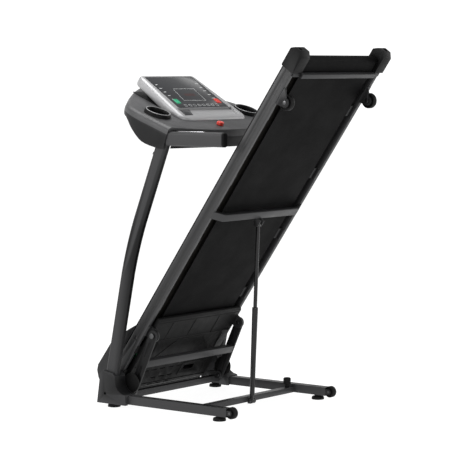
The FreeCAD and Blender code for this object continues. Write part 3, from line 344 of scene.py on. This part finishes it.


# the lighter edge colour in framePaint, railPaint, blackPlastic, greyPlastic and trayGrey is a painted
# highlight along sharp edges
looks = {
    "framePaint": {"dark": (0.004, 0.004, 0.0043), "light": (0.006, 0.006, 0.0064),
                   "paintedEdgeHighlight": (0.07, 0.07, 0.072), "rough": (0.32, 0.45),
                   "cloud": 6, "grain": 900, "bump": 0.12, "bumpDepth": 0.0003,
                   "metallic": 0.0, "coat": 0.03, "coatRoughness": 0.3, "specular": 0.16},
    "railPaint": {"dark": (0.008, 0.008, 0.0084), "light": (0.011, 0.011, 0.0116),
                  "paintedEdgeHighlight": (0.08, 0.08, 0.082), "rough": (0.36, 0.5),
                  "cloud": 5, "grain": 900, "bump": 0.12, "bumpDepth": 0.0003,
                  "metallic": 0.0, "coat": 0.1, "coatRoughness": 0.35, "specular": 0.28},
    "steel": {"dark": (0.07, 0.07, 0.072), "light": (0.12, 0.12, 0.123), "rough": (0.25, 0.4), "cloud": 30,
              "grain": 400, "bump": 0.08, "bumpDepth": 0.0002, "metallic": 1.0},
    "chrome": {"dark": (0.7, 0.7, 0.72), "light": (0.82, 0.82, 0.84), "rough": (0.08, 0.16), "cloud": 12,
               "grain": 300, "bump": 0.03, "bumpDepth": 0.0001, "metallic": 1.0},
    "blackPlastic": {"dark": (0.002, 0.002, 0.0021), "light": (0.0032, 0.0032, 0.0034),
                     "paintedEdgeHighlight": (0.02, 0.02, 0.02), "rough": (0.42, 0.56),
                     "cloud": 8, "grain": 1400, "bump": 0.2, "bumpDepth": 0.0003,
                     "pattern": "leather", "specular": 0.1},
    "greyPlastic": {"dark": (0.006, 0.006, 0.0063), "light": (0.009, 0.009, 0.0095),
                    "paintedEdgeHighlight": (0.05, 0.05, 0.052), "rough": (0.38, 0.5),
                    "cloud": 5, "grain": 1500, "bump": 0.15, "bumpDepth": 0.0003,
                    "pattern": "leather", "specular": 0.2},
    "trayGrey": {"dark": (0.045, 0.045, 0.0465), "light": (0.058, 0.058, 0.06), "paintedEdgeHighlight": (0.08, 0.08, 0.082),
                 "rough": (0.4, 0.5), "cloud": 5, "grain": 1500, "bump": 0.15, "bumpDepth": 0.0003,
                 "pattern": "leather", "specular": 0.4},
    "silverPlastic": {"dark": (0.3, 0.3, 0.305), "light": (0.35, 0.35, 0.355), "rough": (0.34, 0.44),
                      "cloud": 7, "grain": 1800, "bump": 0.08, "bumpDepth": 0.0002, "metallic": 0.3,
                      "coat": 0.1, "coatRoughness": 0.3},
    "glossBlack": {"dark": (0.004, 0.004, 0.0044), "light": (0.007, 0.007, 0.0075), "rough": (0.1, 0.18),
                   "cloud": 9, "grain": 500, "bump": 0.02, "bumpDepth": 0.0001, "specular": 0.35},
    "panelGlass": {"dark": (0.02, 0.021, 0.023), "light": (0.026, 0.027, 0.03), "rough": (0.1, 0.18),
                   "cloud": 6, "grain": 300, "bump": 0.01, "bumpDepth": 0.0001, "coat": 0.3,
                   "coatRoughness": 0.04, "specular": 0.4},
    "displayRed": {"dark": (0.03, 0.012, 0.012), "light": (0.045, 0.016, 0.016), "rough": (0.12, 0.2),
                   "cloud": 40, "grain": 300, "bump": 0.01, "bumpDepth": 0.0001},
    "printWhite": {"dark": (0.45, 0.46, 0.46), "light": (0.55, 0.56, 0.56), "rough": (0.4, 0.5),
                   "cloud": 90, "grain": 500, "bump": 0.02, "bumpDepth": 0.0001},
    "rubber": {"dark": (0.004, 0.004, 0.004), "light": (0.007, 0.007, 0.007), "rough": (0.6, 0.75),
               "cloud": 14, "grain": 900, "bump": 0.3, "bumpDepth": 0.0004, "specular": 0.15},
    "beltRubber": {"dark": (0.002, 0.002, 0.0021), "light": (0.003, 0.003, 0.0031), "rough": (0.55, 0.68),
                   "cloud": 3, "grain": 90, "bump": 0.35, "bumpDepth": 0.0005, "pattern": "diamond",
                   "turn": layout["deckLean"], "specular": 0.05},
    "greenPlastic": {"dark": (0.02, 0.3, 0.15), "light": (0.03, 0.38, 0.19), "rough": (0.22, 0.32),
                     "cloud": 60, "grain": 700, "bump": 0.04, "bumpDepth": 0.0001},
    "redPlastic": {"dark": (0.5, 0.03, 0.02), "light": (0.62, 0.045, 0.028), "rough": (0.22, 0.32),
                   "cloud": 60, "grain": 700, "bump": 0.04, "bumpDepth": 0.0001},
    "boardBlack": {"dark": (0.012, 0.011, 0.01), "light": (0.02, 0.018, 0.016), "rough": (0.5, 0.65),
                   "cloud": 16, "grain": 240, "bump": 0.2, "bumpDepth": 0.0004, "specular": 0.2},
    "circuit": {"dark": (0.008, 0.08, 0.03), "light": (0.015, 0.13, 0.05), "rough": (0.35, 0.5),
                "cloud": 120, "grain": 600, "bump": 0.2, "bumpDepth": 0.0003},
    "aluminium": {"dark": (0.55, 0.55, 0.57), "light": (0.68, 0.68, 0.7), "rough": (0.3, 0.42), "cloud": 20,
                  "grain": 500, "bump": 0.1, "bumpDepth": 0.0002, "metallic": 1.0},
}
paint = {name: makeLook(name, look) for name, look in looks.items()}
print("materials ready:", len(paint))


def settle(obj, look, body):
    return finish(obj, paint[look], body)


# camera, light and floor
cameraSet = {
    "place": (-5.8577, frontFootY - 4.8661, 1.2382),
    "yaw": radians(52.10),         # from the motor side towards the user's right
    "pitch": radians(4.60),        # downwards
    "lens": 160.28,
    "shift": -0.0014,
}


def addCamera():
    data = bpy.data.cameras.new("camera")
    data.lens = cameraSet["lens"]
    data.sensor_width = 36.0
    camera = bpy.data.objects.new("camera", data)
    bpy.context.scene.collection.objects.link(camera)
    camera.location = cameraSet["place"]
    data.shift_x = cameraSet["shift"]
    camera.rotation_euler = (pi / 2 - cameraSet["pitch"], 0, -cameraSet["yaw"])
    bpy.context.scene.camera = camera


lightSet = {
    # name: (place, aim, width and height, watts)
    "leftSoftbox": ((-3.2, 1.6, 2.2), (0, 0, 0.7), (1.6, 1.6), 40),
    "cornerStrip": ((-2.3, -3.0, 1.0), (0, 0, 0.8), (0.16, 2.6), 22),
    "overhead": ((-0.3, 0.4, 3.6), (0, 0, 0.8), (2.6, 2.6), 105),
    "rightStrip": ((2.8, -1.4, 1.8), (0, 0, 0.7), (0.6, 1.8), 10),
}


def addLights():
    for name, (place, aim, size, watts) in lightSet.items():
        data = bpy.data.lights.new(name, "AREA")
        data.shape = "RECTANGLE"
        data.size, data.size_y = size
        data.energy = watts
        lamp = bpy.data.objects.new(name, data)
        bpy.context.scene.collection.objects.link(lamp)
        lamp.location = place
        lamp.rotation_euler = (Vector(aim) - Vector(place)).to_track_quat("-Z", "Y").to_euler()
    addBackdrop()
    bpy.context.scene.view_settings.view_transform = "Standard"


def addBackdrop():
    world = bpy.data.worlds.new("studio")
    bpy.context.scene.world = world
    world.use_nodes = True
    tree = world.node_tree
    direction = addNode(tree, "ShaderNodeTexCoord")
    split = addNode(tree, "ShaderNodeSeparateXYZ")
    tree.links.new(direction.outputs["Generated"], split.inputs["Vector"])
    fall = addNode(tree, "ShaderNodeMapRange")     # bright paper near the horizon, dim room above
    for key, value in (("From Min", 0.22), ("From Max", 0.5), ("To Min", 1.15), ("To Max", 0.3)):
        fall.inputs[key].default_value = value
    tree.links.new(split.outputs["Z"], fall.inputs["Value"])
    tree.links.new(fall.outputs["Result"], tree.nodes["Background"].inputs["Strength"])
    tree.nodes["Background"].inputs["Color"].default_value = (1, 1, 1, 1)


def addFloor():
    dropSelection()
    bpy.ops.mesh.primitive_plane_add(size=60, location=(0, 0, 0))
    floor = bpy.context.object
    floor.name = "floor"
    paper = {"dark": (0.2, 0.2, 0.2), "light": (0.22, 0.22, 0.22), "rough": (0.8, 0.9),
             "cloud": 1.5, "grain": 200, "bump": 0.02, "bumpDepth": 0.0002}
    material = makeLook("floorPaper", paper)
    glow = material.node_tree.nodes["Principled BSDF"]
    glow.inputs["Emission Color"].default_value = (1, 1, 1, 1)
    glow.inputs["Emission Strength"].default_value = 0.93
    floor.data.materials.append(material)


addCamera()
addLights()
addFloor()
print("camera, light and floor ready")


# steps for the pieces modelled here
def scaled(points):
    return [tuple(value * mm for value in point) for point in points]


def through(points, steps=4):
    spots = [Vector(point) for point in points]
    spots = [2 * spots[0] - spots[1], *spots, 2 * spots[-1] - spots[-2]]
    line = []
    for a, b, c, d in zip(spots, spots[1:], spots[2:], spots[3:]):
        for k in range(steps):
            t = k / steps
            bend = 2 * b + (c - a) * t + (2 * a - 5 * b + 4 * c - d) * t ** 2
            bend += (3 * b - a - 3 * c + d) * t ** 3
            line.append(tuple(0.5 * bend))
    return line + [tuple(points[-1])]


def chooseFaces(obj, test):
    pick(obj)
    bpy.ops.object.mode_set(mode="EDIT")
    bpy.ops.mesh.select_mode(type="FACE")
    bpy.ops.mesh.select_all(action="DESELECT")
    bpy.ops.object.mode_set(mode="OBJECT")
    for face in obj.data.polygons:
        face.select = test(face.center, face.normal)
    bpy.ops.object.mode_set(mode="EDIT")


def rollRim(obj, test, width, segments=5):
    chooseFaces(obj, test)
    bpy.ops.mesh.region_to_loop()
    bpy.ops.mesh.bevel(offset=width, segments=segments, affect="EDGES", clamp_overlap=False)
    bpy.ops.object.mode_set(mode="OBJECT")


def hollowUnder(obj, wall, depth):
    chooseFaces(obj, lambda centre, normal: normal.z < -0.9)
    bpy.ops.mesh.inset(thickness=wall, depth=0, use_even_offset=True)
    bpy.ops.mesh.extrude_region_move(TRANSFORM_OT_translate={"value": (0, 0, depth)})
    bpy.ops.object.mode_set(mode="OBJECT")
    cleanNormals(obj)


def place(obj, look, body, node=None, angle=32):
    smooth(obj, angle)
    settle(obj, look, body)
    if node:
        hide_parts(node)
    return obj


identity = Matrix.Identity(4)


# tray: one bowl, parted into a top and a skirt
trayShape = {
    "half": 330, "deep": 428,      # half width, and length from the rear edge to the nose
    "anchor": -140,                # the rear edge, where the bands don't shrink
    "up": [(0, -18), (1.4, -11), (5, -5.3), (11, -1.4), (18, 0)],
    "down": [(0, -24), (2, -34), (8, -46), (17, -58), (27, -70), (38, -82), (48, -92), (56, -100)],
    "bottomEdge": [(-210, -60), (-163, -66), (-110, -84), (-84, -90), (-19, -93), (43, -68), (80, -46),
                   (120, -40), (320, -40)],
    "part": -26 * mm,
    "wall": 7 * mm,
    "cupRoom": 41.5 * mm,
    "side": [(330, -120), (330, -60), (330, -20)],
    "nose": [(330, 20), (322, 70), (300, 115), (256, 150), (203, 188), (116, 243), (50, 276), (0, 288)],
    "rearBow": (-120, -160),
    "keySpot": (-34, -115),
    "start": (-24 * mm, -18 * mm),  # the straight band that both ways grow from
    "skirtShare": 0.06,            # how much the sides draw in, against front and rear
    "hollow": 93 * mm,
    "uprightRoom": (291.5, 320.6),  # from the middle, round each upright
    "crossbarRoom": [(-292.5, -118, -43), (292.5, -86, -15)],
    "keyRoom": (11, 9),            # half width and half depth
    "railWidth": 28 * mm,
    "railGap": 0.6 * mm,
}


def trayOutline():
    half, nose = trayShape["half"], trayShape["nose"]
    curve = through([(half, -20), *nose, *[(-x, s) for x, s in reversed(nose[:-1])], (-half, -20)], 3)
    ends, middle = trayShape["rearBow"]
    rear = [(x, middle + (ends - middle) * (x / half) ** 2) for x in range(-half, half + 1, half // 6)]
    farSide = [(-x, s) for x, s in reversed(trayShape["side"][1:-1])]
    return scaled([*rear[:-1], *trayShape["side"][:-1], *curve, *farSide])


def growBands(obj, test, bands, sideShare):
    chooseFaces(obj, test)
    half, deep, anchor = trayShape["half"], trayShape["deep"], trayShape["anchor"] * mm
    for (insetA, lowA), (insetB, lowB) in zip(bands, bands[1:]):
        bpy.ops.mesh.extrude_region_move(TRANSFORM_OT_translate={"value": (0, 0, (lowB - lowA) * mm)})
        narrow = (half - insetB * sideShare) / (half - insetA * sideShare)
        short = (deep - insetB) / (deep - insetA)
        bpy.ops.transform.resize(value=(narrow, short, 1), center_override=(0, anchor, lowB * mm))
    bpy.ops.object.mode_set(mode="OBJECT")


def parted(obj, name, keepAbove):
    dropSelection()
    half = obj.copy()
    half.data = obj.data.copy()
    half.name = name
    bpy.context.scene.collection.objects.link(half)
    pick(half)
    bpy.ops.object.mode_set(mode="EDIT")
    bpy.ops.mesh.select_all(action="SELECT")
    bpy.ops.mesh.bisect(plane_co=(0, 0, trayShape["part"]), plane_no=(0, 0, 1), use_fill=True,
                        clear_inner=keepAbove, clear_outer=not keepAbove)
    bpy.ops.object.mode_set(mode="OBJECT")
    cleanNormals(half)
    return half


def cutRailRooms(obj):
    railLow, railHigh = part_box("handrails")
    gap, width = trayShape["railGap"], trayShape["railWidth"]
    for side in (-1, 1):
        x0, x1 = sorted((side * (railHigh.x - width - gap), side * (railHigh.x + gap)))
        low, high = (x0, railLow.y, railLow.z - gap), (x1, railHigh.y + 0.02, railHigh.z + gap)
        cutAway(obj, boxPiece("rail room", low, high))


def addTray():
    bowl = outlined("tray_bowl", trayOutline(), *trayShape["start"], identity)
    growBands(bowl, lambda centre, normal: normal.z > 0.9, trayShape["up"], 1)
    growBands(bowl, lambda centre, normal: normal.z < -0.9, trayShape["down"], trayShape["skirtShare"])
    hollowUnder(bowl, trayShape["wall"], trayShape["hollow"])
    edge = through(trayShape["bottomEdge"])
    cutAway(bowl, outlined("skirt edge", scaled([*edge, (320, -140), (-210, -140)]), -0.4, 0.4, onSide))
    for side in (-1, 1):
        room = trayShape["cupRoom"]
        tool = turned("cup room", [(room, -70 * mm), (room, 9 * mm)], identity, 64)
        tool.location = (side * cupX, 0, 0)
        bakePlace(tool)
        cutAway(bowl, tool)
        x0, x1 = sorted(side * x * mm for x in trayShape["uprightRoom"])
        cutAway(bowl, boxPiece("upright room", (x0, -130 * mm, -0.14), (x1, -76.4 * mm, -7.5 * mm)))
    cutAway(bowl, boxPiece("crossbar room", *scaled(trayShape["crossbarRoom"])))
    keyX, keyS = trayShape["keySpot"]
    roomX, roomS = trayShape["keyRoom"]
    cutAway(bowl, boxPiece("key room", ((keyX - roomX) * mm, (keyS - roomS) * mm, -16 * mm),
                           ((keyX + roomX) * mm, (keyS + roomS) * mm, 9 * mm)))
    for name, above, look, node in (("tray_shell", True, "trayGrey", "tray_top"),
                                    ("tray_skirt", False, "greyPlastic", "tray_bottom")):
        half = parted(bowl, name, above)
        carry(half, onTray)
        cutRailRooms(half)
        bevel(half, 1.4 * mm, 2, 55)
        place(half, look, "base", node, 38)
    bpy.data.objects.remove(bowl)


# cup holders: radius and height, up the outside and down the inside
cupShape = {
    "bowl": [(33, -62), (38, -61), (40, -58), (40, -0.5), (49.4, 0.3), (49.2, 4), (48, 9), (46.6, 12),
             (45, 13.6), (43.2, 14), (41.4, 13.4), (39.8, 11.6), (38.4, 8), (37.6, 2), (37, -54), (35, -58),
             (31, -59.5), (2, -59.5)],
    # the thin light ring on the lip is a painted highlight
    "rim": [(43.2, 13.6), (45, 13.6), (45.3, 14.6), (44.6, 15.1), (43.4, 15)],
    "rimBore": [(42.4, 9), (42.4, 20)],
}


def addCups():
    for side, word in ((-1, "left"), (1, "right")):
        spot = onTray @ Matrix.Translation((side * cupX, 0, 0))
        cup = turned("cup_" + word + "_bowl", scaled(cupShape["bowl"]), spot, 72)
        place(cup, "blackPlastic", "base", "cup_" + word, 30)
        # painted highlight: a thin light silver ring stands in for the lit rim of each cup
        rim = turned("cup_" + word + "_rim", scaled(cupShape["rim"]), spot, 72)
        cutAway(rim, turned("bore", scaled(cupShape["rimBore"]), spot, 72))
        place(rim, "silverPlastic", "base")


# console
consoleShape = {
    "corners": [(-190, -176, 40), (190, -176, 30), (156, 116, 24), (-156, 116, 24)],
    "foot": [(-138, -150, 20), (138, -150, 20), (112, 84, 20), (-112, 84, 20)],
    "rim": 13 * mm,
    "thick": 40 * mm,
    "ledge": ((-150, -103), -9),
    "ledgeHalf": 158 * mm,
    "footDeep": 150 * mm,
    "footLap": 8 * mm,             # how far the foot reaches up into the slab
    "glassRoom": 1.002,            # room round the glass, as a growth of its outline
    "glass": [(-148, -102, 9), (148, -102, 9), (138, 101, 9), (-138, 101, 9)],
    "tongue": [(-136, -103.5, 3), (-84, -103.5, 3), (-100, -147, 13), (-142, -147, 13)],
    "window": [(-28, -25, 1.5), (32, -26, 1.5), (31, -12, 1.5), (-28, -11, 1.5)],
    "startSpot": (-114, -60),
    "stopSpot": (120, -62),
    "buttonHalf": (12, 14),
    "buttonGap": 0.6,
}
toConsole = onConsole.inverted() @ onTray       # tray frame seen from the console


def flatOn(points):
    return [(x * mm, s * mm) for x, s in roundedOutline(points)]


def addConsole():
    housing = outlined("console_shell", flatOn(consoleShape["corners"]), -consoleShape["thick"], 0, identity)
    rollRim(housing, lambda centre, normal: abs(normal.z) > 0.9, consoleShape["rim"], 5)
    footTop = consoleShape["footLap"] - consoleShape["thick"]
    foot = outlined("console_foot", flatOn(consoleShape["foot"]), -consoleShape["footDeep"], footTop,
                    identity)
    for shell in (housing, foot):
        pick(shell)
        bpy.ops.object.mode_set(mode="EDIT")
        bpy.ops.mesh.select_all(action="SELECT")
        bpy.ops.mesh.bisect(plane_co=toConsole @ Vector((0, 0, 0.3 * mm)),
                            plane_no=toConsole.to_3x3() @ Vector((0, 0, 1)), use_fill=True, clear_inner=True)
        bpy.ops.object.mode_set(mode="OBJECT")
        cleanNormals(shell)
    (low, high), floor = consoleShape["ledge"]
    half, grow = consoleShape["ledgeHalf"], consoleShape["glassRoom"]
    cutAway(housing, boxPiece("ledge room", (-half, low * mm, floor * mm), (half, high * mm, 9 * mm)))
    room = [(x * grow, s * grow, r) for x, s, r in consoleShape["glass"]]
    cutAway(housing, outlined("glass room", flatOn(room), -9 * mm, 9 * mm, identity))
    bevel(housing, 1.2 * mm, 2, 50)
    place(carry(housing, onConsole), "silverPlastic", "base", "console_housing", 35)
    bevel(foot, 2 * mm, 2)
    place(carry(foot, onConsole), "greyPlastic", "base")
    glass = outlined("console_pane", flatOn(consoleShape["glass"]), -3 * mm, -0.3 * mm, identity)
    roomX, roomS = (half + consoleShape["buttonGap"] for half in consoleShape["buttonHalf"])
    for x, s in (consoleShape["startSpot"], consoleShape["stopSpot"]):
        cutAway(glass, boxPiece("button room", ((x - roomX) * mm, (s - roomS) * mm, -9 * mm),
                                ((x + roomX) * mm, (s + roomS) * mm, 9 * mm)))
    bevel(glass, 0.5 * mm, 2)
    place(carry(glass, onConsole), "panelGlass", "base", "console_glass")
    window = outlined("display_window", flatOn(consoleShape["window"]), -0.4 * mm, -0.22 * mm, identity)
    place(carry(window, onConsole), "displayRed", "base")
    tongue = outlined("glass_tongue", flatOn(consoleShape["tongue"]), -9.2 * mm, -7.2 * mm, identity)
    bevel(tongue, 0.5 * mm, 2)
    place(carry(tongue, onConsole), "panelGlass", "base")


printShape = {
    "frame": [(-54, 22), (65, 20), (58, -57), (-68, -54)],      # line round the display
    "labels": 5,
    "labelTop": 50, "labelStep": 24,
    "keys": 8,
    "keyStart": -91, "keyStep": 26, "keyHalf": 6,
    "keyLow": -92, "keyHigh": -81,
    "leftLabel": (-127, -113), "rightLabel": (108, 124),
    "rightLift": 3,
    "frameLine": 1.3, "labelLine": 3.2, "keyLine": 1.2,
}


def printedBar(a, b, width):
    along = (Vector(b) - Vector(a)).normalized()
    side = Vector((-along.y, along.x)) * width / 2
    corners = [Vector(a) - side, Vector(b) - side, Vector(b) + side, Vector(a) + side]
    return outlined("bar", scaled(corners), -0.32 * mm, -0.2 * mm, identity)


def addPrint():
    frameSpots = printShape["frame"]
    closed = frameSpots[1:] + frameSpots[:1]
    bars = [printedBar(a, b, printShape["frameLine"]) for a, b in zip(frameSpots, closed)]
    for k in range(printShape["labels"]):
        s = printShape["labelTop"] - k * printShape["labelStep"]
        for (x0, x1), lift in ((printShape["leftLabel"], 0),
                               (printShape["rightLabel"], printShape["rightLift"])):
            bars.append(printedBar((x0, s + lift), (x1, s + lift), printShape["labelLine"]))
    low, high = printShape["keyLow"], printShape["keyHigh"]
    for k in range(printShape["keys"]):
        x = printShape["keyStart"] + k * printShape["keyStep"]
        left, right = x - printShape["keyHalf"], x + printShape["keyHalf"]
        for a, b in (((left, low), (right, low)), ((left, high), (right, high)),
                     ((left, low), (left, high)), ((right, low), (right, high))):
            bars.append(printedBar(a, b, printShape["keyLine"]))
    prints = joinPieces("console_print", bars)
    place(carry(prints, onConsole), "printWhite", "base")


def addButtons():
    dx, ds = consoleShape["buttonHalf"]
    for word, look in (("start", "greenPlastic"), ("stop", "redPlastic")):
        x, s = consoleShape[word + "Spot"]
        outline = [(x - dx, s - ds, 4), (x + dx, s - ds, 4), (x + dx, s + ds, 4), (x - dx, s + ds, 4)]
        button = outlined(word + "_cap", flatOn(outline), -3 * mm, 1.4 * mm, identity)
        rollRim(button, lambda centre, normal: normal.z > 0.9, 1.1 * mm, 3)
        chooseFaces(button, lambda centre, normal: normal.z > 0.95 and centre.z > 1.3 * mm)
        bpy.ops.mesh.inset(thickness=3 * mm, depth=-0.5 * mm)
        bpy.ops.object.mode_set(mode="OBJECT")
        place(carry(button, onConsole), look, word + "_button", word + "_button")


keyShape = {
    "radii": (14.5, 12.5),         # oval grip
    "grip": (1.3 * mm, 13 * mm),
    "round": 3.4 * mm,
    "tongue": [(-5, -2, -9.3), (5, 2, 1.5)],
}


def addSafetyKey():
    keyX, keyS = trayShape["keySpot"]
    across, deep = keyShape["radii"]
    ring = [(across * cos(k * pi / 18), deep * sin(k * pi / 18)) for k in range(36)]
    grip = outlined("key_grip", scaled(ring), *keyShape["grip"], identity)
    rollRim(grip, lambda centre, normal: normal.z > 0.9, keyShape["round"], 4)
    tongue = boxPiece("key_tongue", *scaled(keyShape["tongue"]))
    bevel(tongue, 0.6 * mm, 2)
    key = joinPieces("safety_grip", [grip, tongue])
    spot = onTray @ Matrix.Translation((keyX * mm, keyS * mm, 0))
    place(carry(key, spot), "redPlastic", "safety_key", "safety_key")


# feet, stop and wheels, all turned round an axis
footShape = {
    "foot": [(20, 0), (22.6, 0.6), (23.4, 2.4), (22.8, 8.5), (21.4, 11), (19, 12), (13.6, 12.4), (12.8, 14),
             (12.8, 18)],
    "stop": [(8, 0), (8, 11.6), (12.4, 12), (13.8, 13.4), (14, 20), (13.2, 21), (13.2, 22.4), (14, 23.4),
             (14, 33), (13, 35.6), (10.6, 37), (5, 37), (4, 36), (1, 36)],
}


def addFeet():
    low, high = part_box("levelling_feet")
    reach = layout["footRadius"]
    feet = []
    for x in (-footX, footX):
        for y in (frontFootY, low.y + reach):
            feet.append(turned("foot", scaled(footShape["foot"]), Matrix.Translation((x, y, 0)), 48))
    place(joinPieces("rubber_feet", feet), "rubber", "base", "levelling_feet")
    low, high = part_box("rubber_stop")
    spot = Matrix.Translation(((low.x + high.x) / 2, (low.y + high.y) / 2, low.z))
    buffer = turned("stop_buffer", scaled(footShape["stop"]), spot, 48)
    place(buffer, "rubber", "base", "rubber_stop")


wheelSet = {
    # node: (radius, width)
    "base_wheel_left": (21, 22),
    "base_wheel_right": (21, 22),
    "caster_wheel_left": (27.5, 20),
    "caster_wheel_right": (27.5, 20),
}
wheelBore = 5.08 * mm


def wheelProfile(radius, width):
    rim = radius - 4
    half = [(5.6, 0), (8.4, 0.2), (9, 1), (9.4, 3), (rim - 1, 3.2), (rim, 0.9), (rim + 1.4, 0.3),
            (radius - 0.8, 1.6), (radius, 3.2), (radius, width / 2 - 0.8), (radius - 0.7, width / 2 - 0.5)]
    return half + [(r, width - x) for r, x in reversed(half)]


def addWheels():
    alongX = Matrix.Rotation(pi / 2, 4, "Y")
    for node, (radius, width) in wheelSet.items():
        low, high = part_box(node)
        spot = Matrix.Translation((low.x, (low.y + high.y) / 2, (low.z + high.z) / 2)) @ alongX
        wheel = turned(node + "_tyre", scaled(wheelProfile(radius, width)), spot, 64)
        bore = turned("bore", [(wheelBore, -9 * mm), (wheelBore, 40 * mm)], spot, 40)
        place(cutAway(wheel, bore), "blackPlastic", node, node)


# raised ribs under the belly pan, drawn flat in X and U
bellyRibs = [((-236, 262), (236, 262)), ((-236, 346), (236, 346)), ((-150, 262), (-150, 346)),
             ((-20, 262), (-20, 346)), ((120, 262), (120, 346)), ((-236, 140), (-176, 140)),
             ((-176, 60), (-176, 252)), ((60, 60), (60, 120)), ((60, 120), (200, 120)),
             ((200, 60), (200, 252)), ((-176, 150), (-60, 252)), ((200, 150), (84, 252)),
             ((-60, 252), (84, 252)), ((-236, 44), (236, 44))]


ribShape = {"half": 1.3, "from": 41.4 * mm, "to": 43.2 * mm}


def addBellyRibs():
    ribs = []
    for a, b in bellyRibs:
        along = (Vector(b) - Vector(a)).normalized()
        side = Vector((-along.y, along.x)) * ribShape["half"]
        corners = [Vector(a) - side, Vector(b) - side, Vector(b) + side, Vector(a) + side]
        outline = [(c.x * mm, -c.y * mm) for c in corners]
        rib = outlined("rib", outline, ribShape["from"], ribShape["to"], identity)
        bevel(rib, 0.6 * mm, 2)
        ribs.append(rib)
    place(carry(joinPieces("belly_ribs", ribs), onDeck), "blackPlastic", "deck")


addTray()
print("tray ready")
addCups()
addSafetyKey()
print("cups and safety key ready")
addConsole()
addPrint()
addButtons()
print("console ready")
addFeet()
addWheels()
addBellyRibs()
print("feet, wheels and ribs ready")


# pieces that keep their shape and get soft edges
softened = {
    # node: (edge width in mm, look, body)
    "base_side_tubes": (3.0, "framePaint", "base"),
    "base_cross_tubes": (6.0, "framePaint", "base"),
    "base_brackets": (0.8, "framePaint", "base"),
    "base_pins": (0.7, "steel", "base"),
    "upright_left": (0, "framePaint", "base"),
    "upright_right": (0, "framePaint", "base"),
    "upright_cover_left": (2.5, "greyPlastic", "base"),
    "upright_cover_right": (2.5, "greyPlastic", "base"),
    "hinge_covers": (2.5, "blackPlastic", "base"),
    "upright_bolts": (0.8, "steel", "base"),
    "console_crossbar": (2.0, "framePaint", "base"),
    "safety_key_socket": (0.6, "blackPlastic", "base"),
    "handrails": (0, "framePaint", "base"),
    "handrail_caps": (1.2, "blackPlastic", "base"),
    "pulse_plates": (0.4, "chrome", "base"),
    "console_back": (0.4, "blackPlastic", "base"),
    "display_board": (0.4, "circuit", "base"),
    "lift_arm_left": (1.2, "framePaint", "lift_frame"),
    "lift_arm_right": (1.2, "framePaint", "lift_frame"),
    "lift_cross_tube": (2.5, "framePaint", "lift_frame"),
    "deck_rail_left": (2.0, "railPaint", "deck"),
    "deck_rail_right": (2.0, "railPaint", "deck"),
    "deck_cross_bars": (2.0, "framePaint", "deck"),
    "mid_bar": (2.5, "framePaint", "deck"),
    "deck_board": (1.5, "boardBlack", "deck"),
    "running_belt": (0, "beltRubber", "deck"),
    "foot_rails": (1.5, "blackPlastic", "deck"),
    "end_caps": (1.5, "blackPlastic", "deck"),
    "deck_cushions": (1.0, "rubber", "deck"),
    "deck_brackets": (0.8, "framePaint", "deck"),
    "deck_bolts": (0.8, "steel", "deck"),
    "front_roller": (0.8, "steel", "front_roller"),
    "rear_roller": (0.8, "steel", "rear_roller"),
    "roller_axles": (0.6, "steel", "deck"),
    "drive_motor": (1.5, "aluminium", "deck"),
    "motor_shaft": (0.8, "steel", "motor_shaft"),
    "motor_mount": (0.8, "steel", "deck"),
    "drive_belt": (0.4, "rubber", "deck"),
    "control_board": (1.2, "circuit", "deck"),
    "belly_pan": (1.5, "blackPlastic", "deck"),
    "motor_hood": (3.0, "greyPlastic", "deck"),
    "power_inlet": (0.5, "blackPlastic", "deck"),
    "power_switch": (0.6, "redPlastic", "power_switch"),
    "strut_cylinder": (0.6, "glossBlack", "strut_cylinder"),
    "strut_rod": (0.4, "glossBlack", "strut_rod"),
}

for node, (width, look, body) in softened.items():
    piece = refined(node, width * mm)
    settle(piece, look, body)
print("softened pieces ready:", len(softened))
